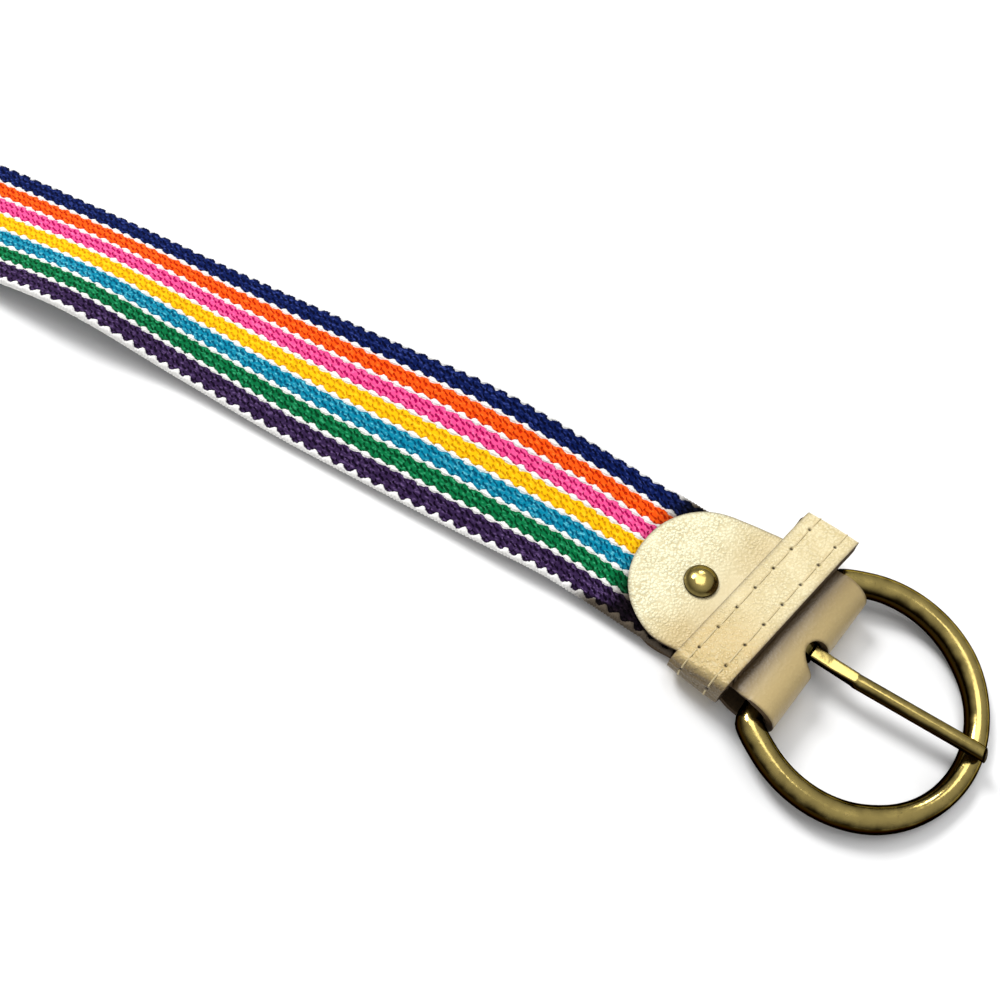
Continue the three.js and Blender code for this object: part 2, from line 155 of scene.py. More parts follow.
class Shader:
    """Builds one node material around a Principled shader."""

    def __init__(self, name: str) -> None:
        """Starts an empty material.

        Args:
            name: name of the material.
        """
        self.material = bpy.data.materials.new(name)
        self.material.use_nodes = True
        self.tree = self.material.node_tree
        self.tree.nodes.clear()
        self.surface = self.node("ShaderNodeBsdfPrincipled")
        output = self.node("ShaderNodeOutputMaterial")
        self.tree.links.new(self.surface.outputs[0], output.inputs[0])

    def node(self, kind: str, inputs: dict[object, object] | None = None,
             **settings: object) -> bpy.types.Node:
        """Adds a node.

        Args:
            kind: Blender's name for the node.
            inputs: what to feed into its inputs, by name or number.
            settings: properties to set on it.

        Returns:
            The new node.
        """
        made = self.tree.nodes.new(kind)
        for key, value in settings.items():
            setattr(made, key, value)
        for key, value in (inputs or {}).items():
            self.feed(made.inputs[key], value)
        return made

    def feed(self, socket: bpy.types.NodeSocket, value: object) -> None:
        """Links a socket to a value of the material, or sets it.

        Args:
            socket: the input.
            value: a value, a number, a vector or a colour.
        """
        if isinstance(value, Value):
            self.tree.links.new(value.socket, socket)
        elif isinstance(value, tuple) and len(value) == 3 and len(socket.default_value) == 4:
            socket.default_value = (*value, 1)
        else:
            socket.default_value = value

    def set(self, **inputs: object) -> None:
        """Feeds inputs of the Principled shader, named with underscores for spaces."""
        for key, value in inputs.items():
            self.feed(self.surface.inputs[key.replace("_", " ").title().replace("Ior", "IOR")], value)

    def math(self, operation: str, first: Term, second: Term = 0.0, clamp: bool = False) -> Value:
        """Returns the result of a Math node."""
        made = self.node("ShaderNodeMath", {0: first, 1: second}, operation=operation, use_clamp=clamp)
        return Value(self, made.outputs[0])

    def least(self, first: Term, second: Term) -> Value:
        """Returns the smaller of two values."""
        return self.math("MINIMUM", first, second)

    def most(self, first: Term, second: Term) -> Value:
        """Returns the larger of two values."""
        return self.math("MAXIMUM", first, second)

    def whole(self, value: Value) -> Value:
        """Returns the nearest whole number."""
        return self.math("ROUND", value)

    def size(self, value: Value) -> Value:
        """Returns a value without its sign."""
        return self.math("ABSOLUTE", value)

    def power(self, value: Value, exponent: float) -> Value:
        """Returns a power of a value."""
        return self.math("POWER", value, exponent)

    def part(self, value: Value) -> Value:
        """Returns what is over a whole number."""
        return self.math("FRACT", value)

    def wave(self, turns: Value) -> Value:
        """Returns a wave from 0 to 1 that peaks at whole turns."""
        return self.math("COSINE", turns * (2 * math.pi)) * 0.5 + 0.5

    def curve(self, value: Value, points: Sequence[Pair], shift: float = 0.0) -> Value:
        """Reads a value from a curve.

        Args:
            value: where to read it, from 0 to 1.
            points: places and values that the curve runs through.
            shift: what raises the values above 0, which is taken off again after.

        Returns:
            The value.
        """
        made = self.node("ShaderNodeFloatCurve", {"Value": value})
        line = made.mapping.curves[0]
        raised = [(at, height + shift) for at, height in points]
        line.points[0].location, line.points[1].location = raised[0], raised[-1]
        for point in raised[1:-1]:
            line.points.new(*point)
        made.mapping.update()
        read = Value(self, made.outputs[0])
        return read - shift if shift else read

    def mix(self, share: Term, first: object, second: object, blend: str = "MIX") -> Value:
        """Returns a mix of two colours."""
        inputs = {0: share, 6: first, 7: second}
        return Value(self, self.node("ShaderNodeMix", inputs, data_type="RGBA", blend_type=blend).outputs[2])

    def spread(self, value: Value, low: float, high: float, start: float = 0.0, end: float = 1.0) -> Value:
        """Returns value moved from the range low to high into the range start to end, smoothly."""
        made = self.node("ShaderNodeMapRange", dict(enumerate((value, low, high, start, end))),
                         interpolation_type="SMOOTHSTEP")
        return Value(self, made.outputs[0])

    def ramp(self, value: Value, stops: Sequence[tuple[float, Colour]]) -> Value:
        """Reads a colour from steps.

        Args:
            value: where to read it, from 0 to 1.
            stops: where each colour starts, and the colour.

        Returns:
            The colour of the last step that the value has passed.
        """
        made = self.node("ShaderNodeValToRGB", {0: value})
        made.color_ramp.interpolation = "CONSTANT"
        elements = made.color_ramp.elements
        for element, (position, colour) in zip(elements, stops):
            element.position, element.color = position, (*colour, 1)
        for position, colour in stops[2:]:
            elements.new(position).color = (*colour, 1)
        return Value(self, made.outputs[0])

    def parts(self, vector: Value) -> tuple[Value, ...]:
        """Returns the three parts of a vector."""
        return tuple(Value(self, part) for part in self.node("ShaderNodeSeparateXYZ", {0: vector}).outputs)

    def scaled(self, vector: Value, scale: Triple, onto: object = (0.0, 0.0, 0.0)) -> Value:
        """Returns a vector scaled part by part and added to another."""
        made = self.node("ShaderNodeVectorMath", {0: vector, 1: scale, 2: onto}, operation="MULTIPLY_ADD")
        return Value(self, made.outputs[0])

    def attribute(self, name: str, output: str = "Fac") -> Value:
        """Returns an attribute of the mesh."""
        return Value(self, self.node("ShaderNodeAttribute", attribute_name=name).outputs[output])

    def coordinates(self, output: str = "Object") -> Value:
        """Returns the place on the object in metres, or another output of its coordinates."""
        return Value(self, self.node("ShaderNodeTexCoord").outputs[output])

    def noise(self, vector: Value, scale: float, detail: float = 2.0, output: str = "Fac") -> Value:
        """Returns a noise value or colour."""
        inputs = {"Vector": vector, "Scale": scale, "Detail": detail}
        return Value(self, self.node("ShaderNodeTexNoise", inputs).outputs[output])

    def cells(self, vector: Value, scale: float, feature: str) -> Value:
        """Returns the distance value of a cell texture."""
        inputs = {"Vector": vector, "Scale": scale}
        return Value(self, self.node("ShaderNodeTexVoronoi", inputs, feature=feature).outputs["Distance"])

    def bump(self, height: Value, distance: float, strength: float = 1.0) -> None:
        """Raises the surface by a height value.

        Args:
            height: the value, from 0 to 1.
            distance: what 1 stands for, in metres.
            strength: share of the effect.
        """
        made = self.node("ShaderNodeBump", {"Height": height, "Distance": distance, "Strength": strength})
        self.tree.links.new(made.outputs[0], self.surface.inputs["Normal"])


@dataclass(frozen=True)
class Weave:
    """Layout of the threads, shared by the cloth's shape and its finish."""

    width: float = 30.0
    tooth: float = 3.0
    tooth_power: float = 1.6
    run_start: float = -0.28
    first_line: float = 5.1
    line_pitch: float = 4.0
    row_pitch: float = 1.4
    first_row: float = 1.12
    row_slope: float = 1.3
    row_edge: Pair = (0.05, 0.4)
    # White selvedges: what they measure between the teeth and how much more at a tooth.
    near_band: Pair = (0.48, 0.85)
    far_band: Pair = (0.5, 0.7)
    # How far each white line lags, in teeth, from the near line to the far one.
    lag: tuple[float, ...] = (0.07, 0.05, -0.03, 0.14, 0.1, 0.05)
    # Outline of one white thread over a tooth: how far along, its top and its foot.
    thread: tuple[Triple, ...] = (
        (0.0, 0.1, -0.14), (0.1, 0.36, -0.24), (0.22, 0.6, -0.4), (0.34, 0.66, -0.58),
        (0.5, 0.48, -0.58), (0.7, 0.24, -0.42), (0.88, 0.08, -0.24), (1.0, 0.1, -0.14),
    )
    # Depth of the creases between the coloured threads over a tooth.
    crease: tuple[Pair, ...] = (
        (0.0, 1.0), (0.12, 0.5), (0.2, 0.55), (0.31, 1.0), (0.4, 0.45), (0.5, 0.08), (0.85, 0.05),
        (0.94, 0.5), (1.0, 1.0),
    )
    # Place along the strap and number of teeth counted up to there.
    count: tuple[Pair, ...] = (
        (-591.0, -133.5), (-183.85, 0.0), (-165.3, 6.0), (-147.3, 12.0), (-130.0, 18.0),
        (-111.2, 24.0), (-92.15, 30.0), (-73.45, 36.0), (-55.1, 42.0), (-35.85, 49.0), (-17.2, 55.8),
    )

    def run(self, along: Array) -> Array:
        """Returns places along the threads, in teeth, for places along the strap."""
        return np.interp(along, *np.array(self.count).T) + self.run_start

    def leaf(self, sums: type[Numbers] | Shader, run: Term, lane: Term) -> tuple[Term, Term, Term]:
        """Works out how far places lie inside the white threads.

        Args:
            sums: sums of arrays or of a material.
            run: place along the threads, in teeth.
            lane: place across the strap, from the near edge.

        Returns:
            Distances, which are negative on the coloured threads, and the places along the nearest white
            thread and above its line.
        """
        last = len(self.lag) - 1
        place = (lane - self.first_line) / self.line_pitch
        nearest = sums.least(sums.most(sums.whole(place), 0.0), float(last))
        above = (place - nearest) * self.line_pitch
        lag = sums.curve(nearest / float(last), [(i / last, lag) for i, lag in enumerate(self.lag)], 0.5)
        turn = sums.part(run - lag)
        top, foot = (sums.curve(turn, [(row[0], row[k]) for row in self.thread], 0.7) for k in (1, 2))
        teeth = sums.power(sums.wave(run - 0.5), self.tooth_power)
        near, far = (teeth * growth + least for least, growth in (self.near_band, self.far_band))
        selvedge = sums.most(near - lane, lane - (self.width - far))
        return sums.most(sums.least(top - above, above - foot), selvedge), turn, above

    def rows(self, sums: type[Numbers] | Shader, run: Term, lane: Term) -> tuple[Term, Term]:
        """Works out where places lie between the rows of coloured threads.

        Args:
            sums: sums of arrays or of a material.
            run: place along the threads, in teeth.
            lane: place across the strap, from the near edge.

        Returns:
            Places over a tooth, and distances from the nearest crease, as shares of a row.
        """
        turn = sums.part(run)
        below = (1.0 - sums.part((lane - self.first_line) / self.line_pitch)) * self.line_pitch
        row = (below - self.first_row - turn * self.row_slope) / self.row_pitch
        return turn, sums.size(row - sums.whole(row))

    def depth(self, run: Array, lane: Array) -> Array:
        """Returns how deep the creases between the coloured threads are, from 0 to 1."""
        turn, aside = self.rows(Numbers, run, lane)
        return (1 - smoothstep(aside * self.row_pitch, *self.row_edge)) * Numbers.curve(turn, self.crease)


@dataclass(frozen=True)
class Yarn:
    """Colours of one stripe: its threads, painted shade for the creases between them, and painted highlight
    for their light side.
    """

    colour: Colour
    dark: Colour
    light: Colour


@dataclass(frozen=True)
class WovenStripes:
    """Woven elastic in coloured stripes, with white threads between them, and painted shade, highlights and
    glints on its threads.
    """

    weave: Weave = Weave()
    purple: Yarn = Yarn(linear(48, 30, 66), linear(17, 4, 27), linear(108, 84, 132))
    green: Yarn = Yarn(linear(0, 106, 58), linear(0, 62, 30), linear(56, 172, 116))
    turquoise: Yarn = Yarn(linear(0, 128, 160), linear(0, 84, 118), linear(100, 204, 222))
    yellow: Yarn = Yarn(linear(254, 192, 8), linear(224, 152, 6), linear(255, 216, 40))
    pink: Yarn = Yarn(linear(244, 78, 144), linear(176, 0, 84), linear(255, 124, 176))
    orange: Yarn = Yarn(linear(254, 86, 14), linear(200, 40, 0), linear(255, 122, 40))
    navy: Yarn = Yarn(linear(4, 21, 76), linear(1, 5, 40), linear(56, 72, 146))
    white: Colour = linear(253, 252, 248)
    head_shadow_grey: Colour = linear(124, 120, 112)
    # Painted shadow under the leather's edge: what is left of the colours there.
    shade: Colour = (0.1, 0.08, 0.06)
    # Noises, in turns to a millimetre: what the threads stray by, grit and fuzz.
    sway: float = 1.1
    grit: float = 2.6
    fuzz: float = 7.0
    # How far the threads stray along and across, in teeth and in millimetres.
    stray: Pair = (0.3, 0.65)
    # How far grit moves the depth of the creases and the rim of the white threads.
    grit_depth: float = 0.7
    grit_rim: float = 0.22
    # Painted shadow at the head of each white thread: where it lies along it in teeth, and under its line.
    head: Pair = (0.2, 0.4)
    # Finer rows between the main ones, which follow them by this share of a tooth.
    faint_row_lag: float = 0.45
    # Lean of the glints in degrees, and how much they are drawn out.
    glint_lean: float = 24.0
    glint_scale: Triple = (1.05, 2.1, 1.0)
    glint_share: float = 0.85
    roughness: float = 0.75
    specular: float = 0.05
    relief: float = 0.00024

    def build(self) -> bpy.types.Material:
        """Builds the material, which reads weave from the mesh: along, across and painted shadow under the
        leather.

        Returns:
            The material.
        """
        shader = Shader("striped_elastic")
        place = shader.attribute("weave", "Vector")
        true_run, true_lane, leather_shadow = shader.parts(place)
        cloth = shader.scaled(place, (self.weave.tooth, 1.0, 0.0))
        sway, lift, _ = shader.parts(shader.noise(cloth, self.sway, 2.0, "Color"))
        run = true_run + (sway - 0.5) * self.stray[0]
        lane = true_lane + (lift - 0.5) * self.stray[1]
        colour, dark, light = self.stripes(shader, true_lane)
        grit = shader.noise(cloth, self.grit, 3.0)
        uneven = grit - 0.5

        # Painted light on the coloured threads: lighter where they stand out, darker in the creases between
        # them, and lighter glints.
        depth = self.creases(shader, run, lane) + uneven * self.grit_depth
        threads = shader.mix(shader.spread(depth, 0.02, -0.3, 0.0, 0.5), colour, light)
        threads = shader.mix(shader.spread(depth, 0.06, 0.58), threads, dark)
        spots = shader.spread(shader.cells(self.leaning(shader, cloth), 1.0, "SMOOTH_F1"), 0.48, 0.12)
        glint = spots * shader.spread(grit, 0.38, 0.52) * shader.spread(depth, 0.6, 0.1)
        threads = shader.mix(glint * self.glint_share, threads, light)

        leaf, turn, above = self.weave.leaf(shader, run, lane)
        ragged = leaf + uneven * self.grit_rim
        tint = shader.mix(shader.spread(ragged, 0.4, 0.0, 0.03, 0.26), self.white, light)
        # Painted shadow at the head of each white thread.
        pale = shader.mix(self.head_spot(shader, turn, above) * 0.6, tint, self.head_shadow_grey)
        inside = shader.spread(ragged, -0.04, 0.07)
        # Painted shade on the coloured threads beside the white ones.
        beside = shader.mix(shader.spread(ragged, -0.3, -0.05, 0.0, 0.55), threads, dark)
        surface = shader.mix(inside, beside, pale)
        # Painted shadow under the leather end.
        surface = shader.mix(leather_shadow, surface, shader.mix(1.0, surface, self.shade, "MULTIPLY"))

        threaded = (1.0 - shader.spread(depth, 0.0, 0.9)) * (1.0 - inside)
        height = threaded + shader.spread(ragged, -0.05, 0.45) * 0.9 + shader.noise(cloth, self.fuzz) * 0.35
        shader.set(base_color=surface, roughness=self.roughness, specular_ior_level=self.specular)
        shader.bump(height, self.relief, 0.8)
        return shader.material

    def stripes(self, shader: Shader, lane: Value) -> list[Value]:
        """Reads the colours of a stripe.

        Args:
            shader: material in the making.
            lane: place across the strap.

        Returns:
            Its colour, its painted shade and its painted highlight.
        """
        yarns = (self.purple, self.green, self.turquoise, self.yellow, self.pink, self.orange, self.navy)
        lines = (self.weave.first_line + self.weave.line_pitch * i for i in range(len(yarns) - 1))
        starts = [0.0] + [line / self.weave.width for line in lines]
        across = lane / self.weave.width
        return [
            shader.ramp(across, [(start, getattr(yarn, key)) for start, yarn in zip(starts, yarns)])
            for key in ("colour", "dark", "light")
        ]

    def creases(self, shader: Shader, run: Value, lane: Value) -> Value:
        """Reads the depth of the creases, with finer rows between the main ones.

        Args:
            shader: material in the making.
            run: place along the threads, in teeth.
            lane: place across the strap.

        Returns:
            The depth, from 0 to 1.
        """
        turn, aside = self.weave.rows(shader, run, lane)
        main = shader.spread(aside, 0.3, 0.04) * shader.curve(turn, self.weave.crease)
        between = shader.part(turn + self.faint_row_lag)
        return shader.most(main, shader.spread(aside, 0.26, 0.48) * shader.curve(between, self.weave.crease))

    def head_spot(self, shader: Shader, turn: Value, above: Value) -> Value:
        """Returns 1 in the painted shadow at the head of each white thread and 0 away from it."""
        aside, under = (turn - self.head[0]) * self.weave.tooth, above + self.head[1]
        return shader.spread(shader.math("SQRT", aside * aside + under * under), 0.26, 0.08)

    def leaning(self, shader: Shader, cloth: Value) -> Value:
        """Returns places on the cloth drawn out along the lean of its threads."""
        inputs = {"Vector": cloth, "Rotation": (0.0, 0.0, math.radians(self.glint_lean)),
                  "Scale": self.glint_scale}
        return Value(shader, shader.node("ShaderNodeMapping", inputs).outputs[0])


@dataclass(frozen=True)
class GrainedLeather:
    """Cream leather with a fine pebbled grain, with painted shade in its grooves and painted highlight on its
    pebbles.
    """

    # Light and deep tone: the mesh's tone mixes them, partly as the leather's own tone and partly as painted
    # shade.
    light: Colour = linear(241, 236, 200)
    deep: Colour = linear(202, 178, 124)
    # Painted shade in the grain's grooves.
    grain_groove_shade: Colour = linear(186, 168, 116)
    # Brown for painted shade and for darker rims.
    shade_and_rim_brown: Colour = linear(62, 43, 17)
    # Painted shade in the stitch holes.
    hole: Colour = linear(40, 28, 10)
    # Noises, in turns to a metre: pebbles, what pushes them about, patches of grain, clouds and fine grain.
    pebble: float = 1900.0
    swirl: float = 1500.0
    patch: float = 220.0
    cloud: float = 90.0
    fine: float = 4200.0
    # How far the pebbles are pushed about, in metres.
    warp: float = 0.0004
    roughness: float = 0.4
    specular: float = 0.45
    relief: float = 0.00017

    def build(self) -> bpy.types.Material:
        """Builds the material, which reads from the mesh its tone with painted shade, its grain, its darker
        rims with painted shade, and painted shade in the stitch holes.

        Returns:
            The material.
        """
        shader = Shader("cream_leather")
        place = shader.coordinates()
        swirl = shader.noise(place, self.swirl, 1.0, "Color")
        pebbles = shader.cells(shader.scaled(swirl, (self.warp,) * 3, place), self.pebble, "F1")
        patches = shader.spread(shader.noise(place, self.patch), 0.3, 0.7, 0.6, 1.0)
        strength = shader.attribute("grain") * patches
        cloud = (shader.noise(place, self.cloud) - 0.5) * 0.7
        # Tone from the mesh: partly the leather's own, partly painted shade where it lies away from the
        # light; clouds vary it at random.
        base = shader.mix(shader.math("ADD", shader.attribute("tone"), cloud, True), self.light, self.deep)
        # Painted shade in the grooves between the pebbles, and painted highlight on their tops.
        groove_shade = shader.spread(pebbles, 0.42, 0.75) * strength
        grained = shader.mix(groove_shade * 0.75, base, self.grain_groove_shade)
        pebble_highlight = shader.spread(pebbles, 0.34, 0.1) * strength
        grained = shader.mix(pebble_highlight * 0.35, grained, self.light)
        # Brown where the mesh asks for it: painted shade beside and on the keeper, and darker rims.
        with_painted_shade = shader.mix(shader.attribute("burnish"), grained, self.shade_and_rim_brown)
        # Painted shade in the stitch holes.
        colour = shader.mix(shader.spread(shader.attribute("pit"), 0.1, 0.75), with_painted_shade, self.hole)
        shader.set(base_color=colour, roughness=self.roughness, specular_ior_level=self.specular)
        swell = shader.spread(pebbles, 0.75, 0.05) * strength
        shader.bump(swell + shader.noise(place, self.fine) * 0.14, self.relief, 0.9)
        return shader.material


@dataclass(frozen=True)
class FleshSide:
    """Rough brown inner side of the leather, darker than its own colour so that it also serves as painted
    shade inside the keeper and under the tab.
    """

    # Browns darker than the flesh side's own, which also stand for painted shade.
    colour: Colour = linear(96, 74, 44)
    deep: Colour = linear(52, 38, 20)
    nap: float = 1600.0
    roughness: float = 0.85
    relief: float = 0.0001

    def build(self) -> bpy.types.Material:
        """Builds the material.

        Returns:
            The material.
        """
        shader = Shader("leather_flesh_side")
        nap = shader.noise(shader.coordinates(), self.nap, 4.0)
        shader.set(base_color=shader.mix(nap, self.deep, self.colour), roughness=self.roughness)
        shader.bump(nap, self.relief)
        return shader.material


@dataclass(frozen=True)
class AntiqueBrass:
    """Darkened brass, lighter on the faces that look up and dark on the sides as painted reflection of a
    bright light overhead and dark surroundings.
    """

    bright: Colour = linear(194, 173, 104)
    dark: Colour = linear(40, 29, 9)
    edge: Colour = (0.2, 0.16, 0.08)
    roughness: float = 0.16
    # How far up a face looks where its painted dark ends and where its painted reflection is brightest.
    painted_reflection_facing: Pair = (0.58, 1.0)
    # Noises, in turns to a metre: stains, dark specks and dimples.
    stain: float = 420.0
    speck: float = 2600.0
    dimple: float = 1000.0
    relief: float = 0.00005

    def build(self) -> bpy.types.Material:
        """Builds the material.

        Returns:
            The material: bright on the faces that look up and dark on the sides, as painted reflection.
        """
        shader = Shader("antique_brass")
        place = shader.coordinates()
        _, _, facing = shader.parts(shader.coordinates("Normal"))
        stain = shader.noise(place, self.stain, 4.0)
        # Painted reflection: faces that look up turn bright and the sides turn dark, shifted a little by the
        # stains.
        up = facing + (stain - 0.5) * 0.35
        specks = shader.spread(shader.noise(place, self.speck), 0.66, 0.74, 0.0, 0.35)
        worn = shader.mix(shader.spread(up, *self.painted_reflection_facing), self.dark, self.bright)
        rough = shader.spread(stain, 0.3, 0.8, self.roughness - 0.04, self.roughness + 0.12)
        colour = shader.mix(specks, worn, self.dark)
        shader.set(base_color=colour, roughness=rough, metallic=1.0, specular_tint=self.edge)
        shader.bump(shader.noise(place, self.dimple), self.relief, 0.5)
        return shader.material


@dataclass(frozen=True)
class SewingThread:
    """Twisted cream thread."""

    colour: Colour = linear(222, 206, 156)
    deep: Colour = (0.4, 0.31, 0.17)
    twist: float = 5200.0
    roughness: float = 0.6
    relief: float = 0.00005

    def build(self) -> bpy.types.Material:
        """Builds the material.

        Returns:
            The material.
        """
        shader = Shader("sewing_thread")
        twist = shader.noise(shader.coordinates(), self.twist)
        shader.set(base_color=shader.mix(twist, self.colour, self.deep), roughness=self.roughness)
        shader.bump(twist, self.relief)
        return shader.material


@dataclass(frozen=True)
class PaleTable:
    """Plain white table top."""

    colour: Colour = (0.93, 0.93, 0.93)

    def build(self) -> bpy.types.Material:
        """Builds the material.

        Returns:
            The material.
        """
        shader = Shader("pale_table")
        shader.set(base_color=self.colour, roughness=0.9)
        return shader.material


@dataclass
class Layout:
    """Where the belt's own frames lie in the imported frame, and sizes that its parts share."""

    hinge: Vector
    tab_yaw: float = -10.0
    tab_half_width: float = 14.7
    keeper_skew: float = 4.1
    rivet: Pair = (-19.5, -0.6)
    frame_yaw: float = 3.9
    frame_shift: float = -0.3
    bar_height: float = 5.2
    front_wire: float = 2.0
    front_reach: float = 33.55

    @property
    def table(self) -> Matrix:
        """Works out the frame on the table.

        Returns:
            The frame, whose X runs along the strap.
        """
        offset = Matrix.Rotation(math.radians(self.tab_yaw), 4, "Z") @ Vector((0, self.frame_shift, 0))
        origin = Vector((self.hinge.x - offset.x * MM, self.hinge.y - offset.y * MM, 0))
        return Matrix.Translation(origin) @ Matrix.Scale(MM, 4)

    @property
    def tab(self) -> Matrix:
        """Returns the frame of the leather end."""
        return self.table @ Matrix.Rotation(math.radians(self.tab_yaw), 4, "Z")

    @property
    def ring(self) -> Matrix:
        """Works out the frame of the buckle.

        Returns:
            The frame, with its origin in the middle of the bar.
        """
        tilt = math.asin((self.bar_height - self.front_wire) / self.front_reach)
        turn = Matrix.Rotation(math.radians(self.frame_yaw), 4, "Z") @ Matrix.Rotation(tilt, 4, "Y")
        return self.tab @ Matrix.Translation((0, self.frame_shift, self.bar_height)) @ turn


@dataclass
class Finishes:
    """Materials of the pieces: the outer side's, and those of inner sides and edges for a wall."""

    elastic: Sequence[bpy.types.Material]
    leather: Sequence[bpy.types.Material]
    brass: Sequence[bpy.types.Material]
    thread: Sequence[bpy.types.Material]


@dataclass
class Part:
    """What every part of the belt is placed by and dressed in."""

    layout: Layout
    finishes: Finishes


def rounded(width: float, segments: int, angle: float) -> Modifier:
    """Gives the modifier that rounds sharp edges.

    Args:
        width: of the rounding, in millimetres.
        segments: faces over it.
        angle: how sharp an edge has to be, in degrees.

    Returns:
        Its kind and settings.
    """
    edges = {"width": width * MM, "segments": segments, "limit_method": "ANGLE"}
    return "BEVEL", {**edges, "angle_limit": math.radians(angle)}


def leather_walls(thickness: float, rounding: float) -> list[Modifier]:
    """Gives the modifiers that turn a leather skin into a wall with rounded edges.

    Args:
        thickness: of the leather.
        rounding: radius of its edges.

    Returns:
        Kinds and settings.
    """
    wall = {"thickness": thickness * MM, "offset": -1.0, "use_even_offset": True, "use_quality_normals": True}
    solidify = ("SOLIDIFY", {**wall, "material_offset": 1, "material_offset_rim": 1})
    return [solidify, rounded(rounding, segments=3, angle=55)]


class Piece:
    """One mesh in the making, from a bmesh to a finished object."""

    def __init__(self, name: str) -> None:
        """Starts an empty piece.

        Args:
            name: name of the object.
        """
        self.name = name
        self.bm = bmesh.new()

    @property
    def places(self) -> Array:
        """Returns the places of the vertices, a row for each."""
        return np.array([vertex.co for vertex in self.bm.verts], float)

    def grid(self, columns: int, rows: int) -> "Piece":
        """Adds a flat grid over 0 to 1 in X and Y.

        Args:
            columns: cells along X.
            rows: cells along Y.

        Returns:
            The piece.
        """
        made = bmesh.ops.create_grid(self.bm, x_segments=columns, y_segments=rows, size=0.5)
        bmesh.ops.translate(self.bm, verts=made["verts"], vec=(0.5, 0.5, 0))
        return self

    def spun(self, corners: Sequence[Triple], axis: Triple, steps: int, closed: bool = False) -> "Piece":
        """Adds an outline turned once round an axis through the origin.

        Args:
            corners: places of the outline.
            axis: direction of the axis.
            steps: faces round it.
            closed: whether the outline returns to its first corner.

        Returns:
            The piece.
        """
        verts = [self.bm.verts.new(corner) for corner in corners]
        ends = verts[1:] + verts[:1] if closed else verts[1:]
        geom = verts + [self.bm.edges.new(pair) for pair in zip(verts, ends)]
        turn = {"cent": (0, 0, 0), "axis": axis, "angle": 2 * math.pi, "steps": steps}
        bmesh.ops.spin(self.bm, geom=geom, use_merge=True, **turn)
        return self

    def mapped(self, place: Callable[[Array], Array]) -> "Piece":
        """Moves every vertex by a function of all places.

        Args:
            place: takes and returns an array with a row of x, y and z for each vertex.

        Returns:
            The piece.
        """
        for vertex, after in zip(self.bm.verts, place(self.places)):
            vertex.co = after
        return self

    def tagged(self, **values: Array) -> "Piece":
        """Stores numbers or vectors on the vertices.

        Args:
            values: for each name, a number or a row of three for every vertex.

        Returns:
            The piece.
        """
        layers = self.bm.verts.layers
        for key, rows in values.items():
            layer = (layers.float_vector if rows.ndim > 1 else layers.float).new(key)
            for vertex, value in zip(self.bm.verts, rows):
                vertex[layer] = value
        return self

    def outward(self) -> "Piece":
        """Turns the faces outwards."""
        bmesh.ops.recalc_face_normals(self.bm, faces=self.bm.faces)
        return self

    def welded(self, distance: float = 1e-4) -> "Piece":
        """Joins vertices that lie on each other and turns the faces outwards."""
        bmesh.ops.remove_doubles(self.bm, verts=self.bm.verts, dist=distance)
        return self.outward()

    def capped(self) -> "Piece":
        """Closes open ends."""
        bmesh.ops.holes_fill(self.bm, edges=[edge for edge in self.bm.edges if edge.is_boundary], sides=0)
        return self

    def placed(self, matrix: Matrix) -> "Piece":
        """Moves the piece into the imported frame."""
        bmesh.ops.transform(self.bm, matrix=matrix, verts=self.bm.verts)
        return self

    def linked(self, materials: Sequence[bpy.types.Material]) -> bpy.types.Object:
        """Turns the piece into an object of the scene.

        Args:
            materials: its finish, and that of its inner side and edges where it is a wall.

        Returns:
            The object.
        """
        mesh = bpy.data.meshes.new(self.name)
        self.bm.to_mesh(mesh)
        self.bm.free()
        obj = bpy.data.objects.new(self.name, mesh)
        bpy.context.scene.collection.objects.link(obj)
        for material in materials:
            mesh.materials.append(material)
        return obj

    def made(self, materials: Sequence[bpy.types.Material], body: Body, slot: Slot, node: str = "",
             modifiers: Sequence[Modifier] = ()) -> bpy.types.Object:
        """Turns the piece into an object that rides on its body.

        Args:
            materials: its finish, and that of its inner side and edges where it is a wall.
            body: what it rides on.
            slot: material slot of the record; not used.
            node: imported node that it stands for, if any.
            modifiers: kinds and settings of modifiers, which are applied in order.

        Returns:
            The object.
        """
        obj = self.linked(materials)
        for kind, settings in modifiers:
            modifier = obj.modifiers.new(kind.lower(), kind)
            for key, value in settings.items():
                setattr(modifier, key, value)
        if modifiers:
            evaluated = obj.evaluated_get(bpy.context.evaluated_depsgraph_get())
            obj.data = bpy.data.meshes.new_from_object(evaluated)
            obj.modifiers.clear()
        obj.data.name = self.name
        obj.data.shade_smooth()
        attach(obj, body.value)
        if node:
            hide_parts(node)
        log.info("%s: %d faces", self.name, len(obj.data.polygons))
        return obj


